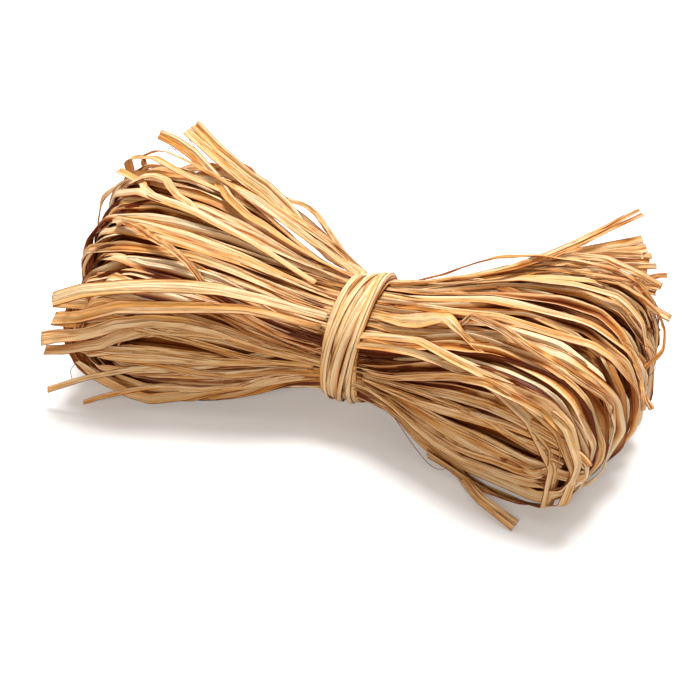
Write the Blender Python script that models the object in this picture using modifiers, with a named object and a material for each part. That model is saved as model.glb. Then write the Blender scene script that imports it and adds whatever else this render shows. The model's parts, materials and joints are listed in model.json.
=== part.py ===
"""A hank of raffia: flat strips of palm leaf wound to and fro into long loops and tied
round the middle, lying on its side.  Metres, +Z up, +X along the hank.

Everything is placed on one shape, the hank's outer surface, by two numbers: a lane u
across the hank (-1 near side, +1 far side) and a turn t once round the loop (0 on top
at the tie, 1 at the right end, 2 underneath at the tie, 3 at the left end).
"""

import math

import bmesh
import bpy
import numpy as np

MM = 0.001

# Driving dimensions.  Lengths run from the tie's middle to the end of each lobe.
WAIST_RADIUS = 23.6 * MM
WAIST_HEIGHT = 28.6 * MM
WAIST_SPREAD = math.radians(82)
LOBES = {
    1: {"length": 113 * MM, "rounding": 0.05, "slant": 0.02, "half_width": 48 * MM,
        "sideways": -1 * MM, "half_height": 31 * MM, "rise": 0.0},
    -1: {"length": 123.5 * MM, "rounding": 0.04, "slant": 0.11, "half_width": 49.5 * MM,
         "sideways": 3 * MM, "half_height": 32 * MM, "rise": 0.06},
}
GRIP = 0.08               # share of a lobe's length that the tie holds round
BEND_FROM = 0.76          # share where the loops start to bend over
BEND_TURN = 0.62          # the same place as a share of the quarter turn
EDGE_DROP_TOP = 0.22      # how much lower the lobe is at its sides than in the middle
TOP_SWELL = 0.58          # over this share of its length the top rises to its full height
UNEVENNESS = 0.7 * MM     # how far the top rises and sinks between the lanes
SETTLE = 0.3 * MM         # the underside is pressed flat by this much where it rests
FLAT_FROM = 0.52          # share of a lobe's length where the flat stretch starts

LANES = 14
RESTING_LANES = (3, 10)   # these strands are packed into the inner ones and carry the hank
LANE_WANDER = 0.032       # how far the boundaries of the lanes wander, in lane units
STRAND = 0.7 * MM         # a strand of several leaf strips pressed together
GAP = 0.3 * MM
SLACK = 0.65 * MM         # room under a strand in its groove
GROOVE = STRAND + SLACK + 0.1 * MM
GROOVE_EDGE = 0.5 * MM
STRAND_EDGE = GROOVE_EDGE + 0.35 * MM
OVERLAP = 0.8 * MM        # how far a raised strand lies over its neighbours
RAISED_ROOM = 0.8 * MM    # room between a raised strand and its neighbours' height
END_LOOSENESS = 1.1 * MM  # raised strands bend over the ends in slightly longer loops
SIDE_STAND_OFF = 1.4 * MM
LOOSE_STATIONS = 10
START_WIDTH = 0.55        # a free strand's width where it starts, as a share of its full width

TIE_STRIP = 3.7 * MM
TIE_PITCH = 4.0 * MM
TIE_THICKNESS = 0.8 * MM
TIE_SEGMENTS = 28
TIE_TURNS = 4
CROSSING_TURNS = 2
CROSSING_SLANT = 4.2 * MM
CROSSING_PHASE = math.radians(115)

# How far round a quarter turn the rows of points lie, from the tie to the end.
ROWS = (0.0, 0.07, 0.18, 0.32, 0.47, 0.62, 0.75, 0.88, 1.0)

# The sides of the inner loops: share of the height (+1 top edge, -1 bottom edge), depth (mm).
SIDE_ROWS = (
    (0.82, 1.2), (0.64, 3.8), (0.5, 2.0), (0.3, 5.0), (0.12, 2.4),
    (-0.08, 6.0), (-0.28, 2.6), (-0.5, 5.0), (-0.72, 1.6),
)
OPEN_EYE = 1.7            # the near side of the right lobe sinks in this much more

STRAW = (0.70, 0.45, 0.20)
DARK_STRAW = (0.50, 0.27, 0.09)
PALE_STRAW = (0.78, 0.55, 0.29)


def smooth(x):
    """0 to 1 with level ends."""
    x = np.clip(x, 0.0, 1.0)
    return x * x * (3 - 2 * x)


def surface(u, t):
    """Points on the hank's outer surface for lanes u and turns t."""
    u, t = np.broadcast_arrays(np.asarray(u, float), np.asarray(t, float) % 4)
    right = t < 2
    top = (t < 1) | (t >= 3)
    quarter = 1 - np.abs((t % 2) - 1)
    side = np.where(right, 1.0, -1.0)

    def lobe(key):
        return np.where(right, LOBES[1][key], LOBES[-1][key])

    turning = np.clip((quarter - BEND_TURN) / (1 - BEND_TURN), 0, 1) * (math.pi / 2)
    straight = BEND_FROM * np.minimum(quarter / BEND_TURN, 1)
    along = straight + (1 - BEND_FROM) * np.sin(turning)

    length = lobe("length") * (1 - lobe("rounding") * u * u + lobe("slant") * u)
    waist_y = WAIST_RADIUS * np.sin(u * WAIST_SPREAD)
    waist_z = WAIST_RADIUS * np.cos(u * WAIST_SPREAD)
    spread = np.clip((along - GRIP) / (1 - GRIP), 0, 1)
    fan = 0.35 * smooth(spread) + 0.65 * spread
    y = waist_y + (lobe("half_width") * u + lobe("sideways") - waist_y) * fan

    height = lobe("half_height") * (1 + lobe("rise") * u)
    drop = 1 - EDGE_DROP_TOP * np.abs(u) ** np.where(top, 4.0, 6.0)
    grown = smooth((along - GRIP) / np.where(top, TOP_SWELL, FLAT_FROM - GRIP))
    half = waist_z + (height * drop - waist_z) * grown
    middle = WAIST_HEIGHT + (height - WAIST_HEIGHT) * smooth(along / FLAT_FROM)
    z = middle + np.where(top, 1.0, -1.0) * half * np.cos(turning) - SETTLE
    uneven = UNEVENNESS * np.sin(5.1 * u + 2.3 * t) * np.sin(9.0 * u - 3.1 * t + 1)
    z = z + np.where(top, uneven * smooth((along - 0.15) / 0.3) * np.cos(turning), 0.0)
    return np.stack([side * length * along, y, np.maximum(z, 0.0)], axis=-1)


def outward(u, t):
    """Unit normals of the surface, from its slopes across and along."""
    step = 0.01
    across = surface(u + step, t) - surface(u - step, t)
    along = surface(u, t + step) - surface(u, t - step)
    normal = np.cross(along, across)
    return normal / np.linalg.norm(normal, axis=-1, keepdims=True)


def lane_edge(index, t):
    """The lane's boundary, which wanders a little except under the tie and at the sides."""
    t = np.asarray(t, float)
    away = smooth((1 - np.abs((t % 2) - 1)) / 0.4)
    wander = LANE_WANDER * np.sin(math.pi / 2 * t + 2.7 * index) * np.cos(1.9 * index + 1.3 * t)
    inside = 0.0 if index in (0, LANES) else 1.0
    return -1 + 2 * index / LANES + inside * wander * away


def lane_frame(index, t):
    """Centre, unit vector across, normal and full width of a lane."""
    low, high = lane_edge(index, t), lane_edge(index + 1, t)
    start, end = surface(low, t), surface(high, t)
    chord = end - start
    width = np.linalg.norm(chord, axis=-1, keepdims=True)
    across = chord / width
    normal = outward((low + high) / 2, t)
    normal = normal - across * np.sum(normal * across, axis=-1, keepdims=True)
    normal = normal / np.linalg.norm(normal, axis=-1, keepdims=True)
    return (start + end) / 2, across, normal, width


def turn_stations():
    """Turns of the rows of points once round the loop."""
    rows = np.array(ROWS)
    out, back = rows[:-1], 2 - rows[:0:-1]
    return np.concatenate([out, back, 2 + out, 2 + back])


def new_material(name, colour):
    """Dry leaf: matt with a slight sheen."""
    material = bpy.data.materials.new(name)
    material.use_nodes = True
    shader = material.node_tree.nodes["Principled BSDF"]
    shader.inputs["Base Color"].default_value = (*colour, 1.0)
    shader.inputs["Roughness"].default_value = 0.5
    shader.inputs["Metallic"].default_value = 0.0
    return material


def finish_part(obj, name, colour, collection, frame, thickness=0.0):
    """Names the piece, gives it its thickness and material, and hangs it on the frame."""
    obj.name = name
    obj.data.name = name
    for other in obj.users_collection:
        other.objects.unlink(obj)
    collection.objects.link(obj)
    obj.parent = frame
    if thickness:
        solidify = obj.modifiers.new("thickness", "SOLIDIFY")
        solidify.thickness = thickness
        solidify.offset = 1.0
    obj.data.materials.append(new_material(name + "_leaf", colour))
    return obj


def band(stations):
    """An open band of one row of faces, and for each point its station and its edge (-1, +1)."""
    bpy.ops.mesh.primitive_cylinder_add(
        vertices=stations, radius=1, depth=2, end_fill_type="NOTHING"
    )
    obj = bpy.context.object
    points = np.array([vertex.co for vertex in obj.data.vertices])
    angle = np.arctan2(points[:, 1], points[:, 0]) % (2 * math.pi)
    station = np.rint(angle / (2 * math.pi) * stations).astype(int) % stations
    return obj, station, np.sign(points[:, 2])


def strip(segments):
    """An open strip of one row of faces, and for each point its station and its edge."""
    bpy.ops.mesh.primitive_grid_add(x_subdivisions=segments, y_subdivisions=1, size=2)
    obj = bpy.context.object
    points = np.array([vertex.co for vertex in obj.data.vertices])
    station = np.rint((points[:, 0] + 1) / 2 * segments).astype(int)
    return obj, station, np.sign(points[:, 1])


def set_points(obj, points):
    """Moves the mesh's points to their places."""
    obj.data.vertices.foreach_set("co", np.asarray(points, np.float32).ravel())
    obj.data.update()


def raised_share(t):
    """1 on top of the lobes and over their ends, 0 at the tie and underneath."""
    t = np.asarray(t) % 4
    top = np.minimum(smooth((t - 0.12) / 0.16), 1 - smooth((t - 1.0) / 0.3))
    left = np.minimum(smooth((t - 2.7) / 0.3), 1 - smooth((t - 3.72) / 0.16))
    return np.where(t < 2, top, left)


def make_loop(lane, name, collection, frame):
    """One strand once round the hank, lying in its groove; every second one is raised over
    its neighbours on top, and stands off a little at the ends."""
    t = turn_stations()
    centre, across, normal, width = lane_frame(lane, t)
    raised = raised_share(t)[:, None] * (lane % 2)
    share_of_end = smooth((1 - np.abs(t % 2 - 1) - 0.55) / 0.45)[:, None]
    loose = END_LOOSENESS * (1 + math.sin(2.4 * lane)) * raised_share(t)[:, None] * (lane % 2)
    stand_off = (GAP + loose) * share_of_end
    lift = SLACK - GROOVE + raised * (STRAND + RAISED_ROOM) + stand_off
    reach = smooth((raised - 0.85) / 0.15)
    breadth = width - 2 * STRAND_EDGE + 2 * reach * (STRAND_EDGE + OVERLAP)
    obj, station, edge = band(len(t))
    points = centre + normal * lift
    offset = across * breadth / 2
    set_points(obj, points[station] + offset[station] * edge[:, None])
    colour = PALE_STRAW if lane % 2 else STRAW
    return finish_part(obj, name, colour, collection, frame, STRAND)


def make_inner_strands(collection, frame):
    """The packed inner turns: ridges between the grooves on top and underneath, and the
    sides of the inner loops as rows of ridges that sink in towards the eye."""
    rows = np.array(ROWS)
    quarters = np.concatenate([rows[::-1], rows[1:]])
    sides = np.concatenate([np.full(len(rows), 3.0), np.zeros(len(rows) - 1)])
    top_turns = np.where(sides > 0, 4 - quarters, quarters)
    bottom_turns = 2 + np.where(sides > 0, quarters, -quarters)

    def row_across(t):
        """The grooved row of points from the near side to the far side."""
        pieces = [surface(lane_edge(0, t), t)]
        for lane in range(LANES):
            centre, across, normal, width = lane_frame(lane, t)
            sink = 0.0 if lane in RESTING_LANES else GROOVE
            floor = centre - normal * sink
            reach = across * (width / 2 - GROOVE_EDGE)
            pieces += [floor - reach, floor + reach, surface(lane_edge(lane + 1, t), t)]
        return np.stack(pieces, axis=1)

    top, bottom = row_across(top_turns), row_across(bottom_turns)
    spread = smooth(quarters / 0.5) * (1 - smooth((quarters - 0.85) / 0.15))
    eye = np.where(sides > 0, 1.0, OPEN_EYE)

    def side_face(end):
        """Rows down a side from its top edge to its bottom edge."""
        high, low = top[:, end], bottom[:, end]
        inward = eye if end == 0 else -1.0
        pieces = []
        for share, depth in SIDE_ROWS:
            point = (high + low) / 2 + (high - low) / 2 * share
            point[:, 1] += inward * depth * MM * spread
            pieces.append(point)
        return np.stack(pieces, axis=1)

    far, near = side_face(-1), side_face(0)
    sections = np.concatenate([top, far, bottom[:, ::-1], near[:, ::-1], top[:, :1]], axis=1)
    stations, around = sections.shape[:2]

    mesh = bpy.data.meshes.new("inner_strands")
    model = bmesh.new()
    bmesh.ops.create_grid(model, x_segments=stations - 1, y_segments=around - 1, size=1)
    for vertex in model.verts:
        i = round((vertex.co.x + 1) / 2 * (stations - 1))
        j = round((vertex.co.y + 1) / 2 * (around - 1))
        vertex.co = sections[i, j]
    bmesh.ops.remove_doubles(model, verts=model.verts, dist=0.00001)
    model.to_mesh(mesh)
    model.free()
    obj = bpy.data.objects.new("inner_strands", mesh)
    collection.objects.link(obj)
    return finish_part(obj, "inner_strands", DARK_STRAW, collection, frame)


def through(points, count):
    """A smooth curve through the points (Catmull-Rom), with evenly shared stations."""
    points = np.asarray(points, float)
    padded = np.concatenate([[2 * points[0] - points[1]], points, [2 * points[-1] - points[-2]]])
    place = np.linspace(0, len(points) - 1, count)
    piece = np.minimum(place.astype(int), len(points) - 2)
    s = (place - piece)[:, None]
    a, b, c, d = (padded[piece + k] for k in range(4))
    bend = (2 * a - 5 * b + 4 * c - d) * s**2
    turn = (3 * b - a - 3 * c + d) * s**3
    return (2 * b + (c - a) * s + bend + turn) / 2


def make_strip(path, faces, width, name, colour, collection, frame):
    """A free strand along a path, its flat side turned to the given directions, tapering
    a little to both ends."""
    path = np.asarray(path, float)
    along = np.gradient(path, axis=0)
    along /= np.linalg.norm(along, axis=1, keepdims=True)
    across = np.cross(faces, along)
    across /= np.linalg.norm(across, axis=1, keepdims=True)
    share = np.linspace(0, 1, len(path))[:, None]
    breadth = width * (START_WIDTH + (1 - START_WIDTH) * smooth(share / 0.5))
    obj, station, edge = strip(len(path) - 1)
    set_points(obj, path[station] + across[station] * (breadth[station] / 2) * edge[:, None])
    return finish_part(obj, name, colour, collection, frame, STRAND)


def spaced(values, count):
    """The values, run evenly between at the number of stations wanted."""
    return np.interp(np.linspace(0, 1, count), np.linspace(0, 1, len(values)), values)


def turn_of(side, quarter, under=False):
    """The turn t of a quarter turn counted from the tie on one lobe, on top or underneath."""
    if under:
        return 2 - quarter if side > 0 else 2 + quarter
    return quarter if side > 0 else 4 - quarter


def over_lanes(side, lanes, quarters, lifts, count, under=False):
    """Points and outward directions above the surface, as lane, quarter turn and lift run
    evenly between the values given."""
    u = spaced(lanes, count)
    t = turn_of(side, spaced(quarters, count), under)
    normal = outward(u, t)
    return surface(u, t) + normal * spaced(lifts, count)[:, None] * MM, normal


def beside(side, end, shares, quarters, count):
    """Points just off a side of a lobe, at shares of its height."""
    quarter = spaced(quarters, count)
    high = surface(end, turn_of(side, quarter))
    low = surface(end, turn_of(side, quarter, under=True))
    points = (high + low) / 2 + (high - low) / 2 * spaced(shares, count)[:, None]
    points[:, 1] += end * SIDE_STAND_OFF
    return points, np.tile((0.0, float(end), 0.0), (count, 1))


def run_free(ridden, faces, free):
    """The path of a cut end: along the hank first, then smoothly through the free points."""
    points = np.concatenate([ridden, np.array(free) * MM])
    turned = np.concatenate([faces, np.repeat(faces[-1:], len(free), axis=0)])
    return through(points, LOOSE_STATIONS), through(turned, LOOSE_STATIONS)


# Strands lying across the others: side, lanes, quarter turns, lifts (mm), width (mm).
CROSSINGS = (
    (-1, (-0.68, 0.1), (0.42, 0.84), (3.6, 3.6), 4.5),
    (-1, (0.42, 0.66, 0.84), (0.1, 0.45, 0.86), (3.4, 10.5, 3.6), 4.0),
    (-1, (-0.25, -0.5), (0.12, 0.97), (1.9, 2.7), 5.0),
    (1, (-0.45, -0.62, -0.9), (0.12, 0.5, 0.98), (1.9, 2.6, 4.5), 5.0),
    (1, (0.0, -0.25), (0.12, 0.97), (1.9, 2.7), 4.5),
    (1, (0.42, 0.16), (0.12, 0.97), (1.9, 2.7), 4.5),
)

# Strands along the sides: side, end (-1 near, +1 far), shares of the height, quarters, width.
SIDE_STRANDS = (
    (1, -1, (0.5, 0.45), (0.18, 0.96), 4.5),
    (1, -1, (-0.1, -0.35), (0.18, 0.93), 4.5),
    (-1, -1, (0.05, -0.1), (0.2, 0.93), 4.0),
    (1, 1, (0.4, 0.3), (0.18, 0.95), 4.5),
    (1, 1, (-0.4, -0.5), (0.18, 0.93), 4.5),
    (-1, 1, (0.45, 0.5), (0.18, 0.95), 4.5),
    (-1, 1, (-0.3, -0.4), (0.18, 0.93), 4.5),
)

# Cut ends on top: side, lanes, quarter turns, lifts (mm), free points (mm from the tie), width.
TOP_ENDS = (
    (1, (0.2, 0.3), (0.1, 0.34), (3.2, 5.0), ((64, 25, 66), (80, 46, 69), (93, 62, 73)), 4.0),
    (1, (0.6, 0.76), (0.12, 0.42), (2.0, 2.6), ((78, 40, 63), (97, 57, 62)), 6.0),
    (1, (0.84, 1.0), (0.12, 0.42), (2.2, 2.8), ((78, 50, 53), (98, 58, 51)), 5.0),
    (1, (0.66, 0.7), (0.5, 0.74), (2.6, 3.0), ((103, 42, 57), (111, 46, 57)), 3.0),
    (1, (0.46, 0.44), (0.7, 0.92), (3.4, 3.4), ((117, 17, 32), (121, 16, 26)), 3.5),
    (-1, (0.28, 0.42), (0.1, 0.3), (1.9, 3.0), ((-68, 31, 68), (-84, 46, 72), (-98, 60, 75)), 6.5),
    (-1, (0.75, 0.85), (0.12, 0.4), (1.9, 2.6), ((-82, 49, 64), (-113, 57, 66)), 4.5),
    (-1, (0.02, 0.16), (0.1, 0.7), (2.2, 3.4), ((-112, 22, 66), (-125, 31, 63)), 3.5),
)

# Cut ends off the near side: side, shares of the height, quarter turns, free points, width.
SIDE_ENDS = (
    (-1, (0.9, 0.75), (0.2, 0.6), ((-96, -49, 44), (-115, -52, 33)), 6.0),
    (-1, (0.46, 0.42), (0.2, 0.6), ((-92, -51, 35), (-107, -57, 28)), 5.0),
    (-1, (-0.36, -0.36), (0.2, 0.55), ((-92, -49, 18), (-114, -54, 8)), 3.2),
    (-1, (-0.7, -0.75), (0.3, 0.55), ((-90, -48.5, 8), (-101, -50, 2.5)), 2.6),
)

# The cut end low in front: side, lanes underneath, quarter turns, lifts, free points, width.
FOOT_END = (1, (-0.72, -0.95), (0.09, 0.42), (2.0, 2.4), ((66, -48, 5), (82, -55, 2.2)), 4.0)


def make_tie_turn(number, radius, x, slant, phase, collection, frame):
    """One turn of the tie: a band round the waist, its plane leaned by the slant."""
    obj, station, edge = band(TIE_SEGMENTS)
    angle = station / TIE_SEGMENTS * 2 * math.pi
    points = np.stack(
        [
            x - slant * np.cos(angle - phase) + edge * TIE_STRIP / 2,
            radius * np.cos(angle),
            WAIST_HEIGHT - SETTLE + radius * np.sin(angle),
        ],
        axis=1,
    )
    set_points(obj, points)
    return finish_part(obj, f"tie_wrap_{number}", PALE_STRAW, collection, frame, TIE_THICKNESS)


def make_free_strands(collection, frame):
    """The strands that lie on the loops, and the cut ends that stand away from them."""
    for number, (side, lanes, quarters, lifts, width) in enumerate(CROSSINGS, 1):
        path, faces = over_lanes(side, lanes, quarters, lifts, LOOSE_STATIONS + 1)
        name = f"crossing_strand_{number}"
        make_strip(path, faces, width * MM, name, PALE_STRAW, collection, frame)
    for number, (side, end, shares, quarters, width) in enumerate(SIDE_STRANDS, 1):
        path, faces = beside(side, end, shares, quarters, LOOSE_STATIONS)
        name = f"side_strand_{number}"
        make_strip(path, faces, width * MM, name, STRAW, collection, frame)

    ends = []
    for side, lanes, quarters, lifts, free, width in TOP_ENDS:
        ends.append((run_free(*over_lanes(side, lanes, quarters, lifts, 5), free), width))
    for side, shares, quarters, free, width in SIDE_ENDS:
        ends.append((run_free(*beside(side, -1, shares, quarters, 4), free), width))
    side, lanes, quarters, lifts, free, width = FOOT_END
    ridden = over_lanes(side, lanes, quarters, lifts, 4, under=True)
    ends.append((run_free(*ridden, free), width))
    for number, ((path, faces), width) in enumerate(ends, 1):
        name = f"loose_end_{number:02d}"
        make_strip(path, faces, width * MM, name, STRAW, collection, frame)


def centre_on_origin(frame, collection):
    """Moves the frame so that the origin is under the middle of the hank's box."""
    bpy.context.view_layer.update()
    graph = bpy.context.evaluated_depsgraph_get()
    corners = np.array(
        [tuple(corner) for part in collection.objects if part.type == "MESH"
         for corner in part.evaluated_get(graph).bound_box]
    )
    middle = (corners.min(axis=0) + corners.max(axis=0)) / 2
    frame.location = (-middle[0], -middle[1], 0.0)


def main():
    for obj in list(bpy.data.objects):
        bpy.data.objects.remove(obj, do_unlink=True)
    collection = bpy.data.collections.new("raffia_hank")
    bpy.context.scene.collection.children.link(collection)
    frame = bpy.data.objects.new("hank_frame", None)
    collection.objects.link(frame)

    make_inner_strands(collection, frame)
    loops = [lane for lane in range(LANES) if lane not in RESTING_LANES]
    for number, lane in enumerate(loops, 1):
        make_loop(lane, f"strand_loop_{number:02d}", collection, frame)
    make_free_strands(collection, frame)

    facet = math.cos(math.pi / TIE_SEGMENTS)
    inner = (WAIST_RADIUS + GAP) / facet
    outer = (inner + TIE_THICKNESS + GAP) / facet
    for turn in range(TIE_TURNS):
        x = (turn - (TIE_TURNS - 1) / 2) * TIE_PITCH
        make_tie_turn(turn + 1, inner, x, 0.0, 0.0, collection, frame)
    for turn in range(CROSSING_TURNS):
        x = (turn - (CROSSING_TURNS - 1) / 2) * TIE_PITCH
        number = TIE_TURNS + turn + 1
        make_tie_turn(number, outer, x, CROSSING_SLANT, CROSSING_PHASE, collection, frame)
    centre_on_origin(frame, collection)


main()
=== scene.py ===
# %% [markdown]
# # A hank of raffia
# Raffia is the skin of a palm leaf, peeled off in long flat strips and dried.  For a
# hank the strips are wound to and fro into long loops, and one more strip is wound
# round the middle to hold them.  The loops swell out on both sides of that tie.
#
# The CAD model holds the size and the main strands.  Here they become what they really
# are, thin creased strips, laid one after another on a pile so that each rests on those
# under it.  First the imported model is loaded.

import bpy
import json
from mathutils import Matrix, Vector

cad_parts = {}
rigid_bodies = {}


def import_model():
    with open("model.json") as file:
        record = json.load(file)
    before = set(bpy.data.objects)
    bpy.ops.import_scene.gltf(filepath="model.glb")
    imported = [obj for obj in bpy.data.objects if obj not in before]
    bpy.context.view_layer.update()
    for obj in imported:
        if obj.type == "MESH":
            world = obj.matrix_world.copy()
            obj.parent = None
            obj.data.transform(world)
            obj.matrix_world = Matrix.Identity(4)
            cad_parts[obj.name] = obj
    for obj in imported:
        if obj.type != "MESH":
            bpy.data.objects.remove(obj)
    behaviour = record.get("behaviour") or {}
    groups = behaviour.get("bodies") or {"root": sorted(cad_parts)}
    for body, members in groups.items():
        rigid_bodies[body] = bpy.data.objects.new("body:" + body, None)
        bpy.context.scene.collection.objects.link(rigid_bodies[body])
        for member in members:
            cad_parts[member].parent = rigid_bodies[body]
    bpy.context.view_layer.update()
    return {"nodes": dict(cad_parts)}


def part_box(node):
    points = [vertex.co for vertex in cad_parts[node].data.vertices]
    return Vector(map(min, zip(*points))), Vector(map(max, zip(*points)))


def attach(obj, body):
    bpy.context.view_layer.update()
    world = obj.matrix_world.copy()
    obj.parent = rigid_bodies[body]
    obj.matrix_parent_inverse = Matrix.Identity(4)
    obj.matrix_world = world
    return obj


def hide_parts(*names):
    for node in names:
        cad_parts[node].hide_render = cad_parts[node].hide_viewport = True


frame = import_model()

import json
import math

import bpy
import numpy as np

MM = 0.001
nodes = sorted(frame["nodes"])

# %% [markdown]
# ## One shape for the whole hank
# The real hank is hundreds of strips, yet together they have one smooth outline, tight
# at the tie and swollen on both sides.  It could be sculpted, or drawn as curves one by
# one.  Here it is one function of whole arrays, so any strip can be laid along it by
# its numbers alone.  A lane says how far across the hank a point is, a turn how far
# round the loop, and a nest how deep inside the loops.  The numbers are those of the
# CAD source, and the tie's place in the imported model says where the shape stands.

# %% Numbers of the hank's shape
WAIST_RADIUS = 23.6 * MM
WAIST_HEIGHT = 28.6 * MM
WAIST_SPREAD = math.radians(82)
LOBES = {
    1: {"length": 113 * MM, "rounding": 0.05, "slant": 0.02, "half_width": 48 * MM,
        "sideways": -1 * MM, "half_height": 31 * MM, "rise": 0.0},
    -1: {"length": 123.5 * MM, "rounding": 0.04, "slant": 0.11, "half_width": 49.5 * MM,
         "sideways": 3 * MM, "half_height": 32 * MM, "rise": 0.06},
}
GRIP = 0.08
BEND_FROM = 0.76
BEND_TURN = 0.62
EDGE_DROP_TOP = 0.22
SETTLE = 0.3 * MM
FLAT_FROM = 0.52

tie_corners = np.array([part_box(f"tie_wrap_{number}") for number in range(1, 5)])
tie_middle = (tie_corners[:, 0].min(axis=0) + tie_corners[:, 1].max(axis=0)) / 2
TIE_PLACE = np.array([tie_middle[0], tie_middle[1], 0.0])
print("the tie stands at", np.round(TIE_PLACE / MM, 2), "mm")


# %% The shape
def smooth(x):
    """0 to 1 with level ends: three times the square less twice the cube."""
    x = np.clip(x, 0.0, 1.0)
    return x * x * (3 - 2 * x)


def quarter_of(turn):
    """How far a turn is from the tie: 0 at the tie, 1 at the end of a lobe."""
    return 1 - np.abs((turn % 2) - 1)


def hank(lane, turn, nest=1.0):
    """Points of the loops.  Lane -1 is the near side and +1 the far side.  Turn 0 is on
    top at the tie, 1 the right end, 2 underneath at the tie, 3 the left end.  Each loop
    is two straight runs that fan out from the tie and a quarter ellipse at each end
    corner; a nest below 1 shrinks its height and its bends, for the loops inside."""
    lane, turn, nest = np.broadcast_arrays(
        np.asarray(lane, float), np.asarray(turn, float) % 4, np.asarray(nest, float)
    )
    right = turn < 2
    top = (turn < 1) | (turn >= 3)
    quarter = quarter_of(turn)

    def lobe(key):
        """This number of the lobe on which each point lies."""
        return np.where(right, LOBES[1][key], LOBES[-1][key])

    turning = np.clip((quarter - BEND_TURN) / (1 - BEND_TURN), 0, 1) * (math.pi / 2)
    straight = BEND_FROM * np.minimum(quarter / BEND_TURN, 1)
    along = straight + (1 - BEND_FROM) * nest * np.sin(turning)
    length = lobe("length") * (1 - lobe("rounding") * lane**2 + lobe("slant") * lane)
    waist_y = WAIST_RADIUS * np.sin(lane * WAIST_SPREAD)
    waist_z = WAIST_RADIUS * np.cos(lane * WAIST_SPREAD)
    spread = np.clip((along - GRIP) / (1 - GRIP), 0, 1)
    fan = 0.35 * smooth(spread) + 0.65 * spread
    y = waist_y + (lobe("half_width") * lane + lobe("sideways") - waist_y) * fan
    height = lobe("half_height") * (1 + lobe("rise") * lane)
    drop = 1 - EDGE_DROP_TOP * np.abs(lane) ** np.where(top, 4.0, 6.0)
    grown = smooth((along - GRIP) / np.where(top, 0.58, FLAT_FROM - GRIP))
    half = (waist_z + (height * drop - waist_z) * grown) * nest
    middle = WAIST_HEIGHT + (height - WAIST_HEIGHT) * smooth(along / FLAT_FROM)
    z = middle + np.where(top, 1.0, -1.0) * half * np.cos(turning) - SETTLE
    x = np.where(right, 1.0, -1.0) * length * along
    return np.stack([x, y, z], axis=-1) + TIE_PLACE


# %% Directions and sizes on the shape
def unit(vectors):
    """The vectors at length 1."""
    return vectors / np.maximum(np.linalg.norm(vectors, axis=-1, keepdims=True), 1e-12)


def outward(lane, turn, nest=1.0):
    """Directions out of the loops: the slope along the loop crossed with that across."""
    step = 0.012
    across = hank(lane + step, turn, nest) - hank(lane - step, turn, nest)
    along = hank(lane, turn + step, nest) - hank(lane, turn - step, nest)
    return unit(np.cross(along, across))


def lane_size(lane, turn):
    """Metres across the hank for one whole lane unit."""
    step = 0.01
    return np.linalg.norm(hank(lane + step, turn) - hank(lane - step, turn), axis=-1) / (2 * step)


print("lobe width in mm:", np.round(2 * lane_size(0.0, np.array([0.6, 3.4])) / MM, 1))

# %% [markdown]
# ## Lines that drift
# Nothing in dried leaf is straight.  A noise texture could push the points about, but
# it would also stretch a strip out of shape.  Here every wobble is a drifting line along
# the strip: random heights at a few knots, joined by straight runs and rounded a little.
# One seeded source of chance serves them all, so the hank is the same each time.

# %% Drifting lines
chance = np.random.default_rng(20)


def rounded(line, reach):
    """A running mean over the neighbours within reach, done twice."""
    if reach < 1:
        return line
    window = np.ones(2 * reach + 1) / (2 * reach + 1)
    for _ in range(2):
        line = np.convolve(np.pad(line, reach, mode="edge"), window, mode="valid")
    return line


def drift(count, knots, size, reach=2):
    """A drifting line of count values about zero."""
    heights = chance.normal(0, size, knots)
    return rounded(np.interp(np.linspace(0, knots - 1, count), np.arange(knots), heights), reach)


# %% Even runs and smooth curves
def spaced(values, count):
    """The values, run evenly between at the number of stations wanted."""
    return np.interp(np.linspace(0, 1, count), np.linspace(0, 1, len(values)), values)


def through(points, count):
    """A smooth curve through the points (Catmull-Rom), with evenly shared stations."""
    points = np.asarray(points, float)
    ends = [2 * points[0] - points[1]], [2 * points[-1] - points[-2]]
    padded = np.concatenate([ends[0], points, ends[1]])
    fine = np.linspace(0, len(points) - 1, 12 * count)
    piece = np.minimum(fine.astype(int), len(points) - 2)
    s = (fine - piece)[:, None]
    a, b, c, d = (padded[piece + k] for k in range(4))
    curve = 0.5 * (2 * b + (c - a) * s + (2 * a - 5 * b + 4 * c - d) * s**2
                   + (3 * b - a - 3 * c + d) * s**3)
    steps = np.linalg.norm(np.diff(curve[:, :3], axis=0), axis=1)
    length = np.concatenate([[0], np.cumsum(steps)])
    wanted = np.linspace(0, length[-1], count)
    return np.stack([np.interp(wanted, length, curve[:, k]) for k in range(curve.shape[1])], 1)

# %% [markdown]
# ## A creased leaf strip
# A strip of raffia is thin leaf that shrank into folds along its length as it dried.  A
# flat ribbon with bump in its material would keep a straight edge and a straight
# outline.  So a strip is a closed ribbon a tenth of a millimetre thick, whose cross
# section is a row of points with creases between them, and the creases wander along the
# strip.  Section and path are whole arrays, and one function makes rings of points.

# %% Rings of points round a strip
LEAF = 0.13 * MM  # thickness of a strip


def cross_frame(path, faces):
    """At each station the direction out of the strip, which is faces made square to the
    path, and the direction across it."""
    along = unit(np.gradient(path, axis=0))
    normal = unit(faces - along * np.sum(faces * along, axis=1, keepdims=True))
    return normal, np.cross(normal, along)


def rolled(normal, across, roll):
    """Both directions turned about the path by the angle roll."""
    roll = np.broadcast_to(np.asarray(roll, float), (len(normal),))[:, None]
    c, s = np.cos(roll), np.sin(roll)
    return normal * c - across * s, across * c + normal * s


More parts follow.
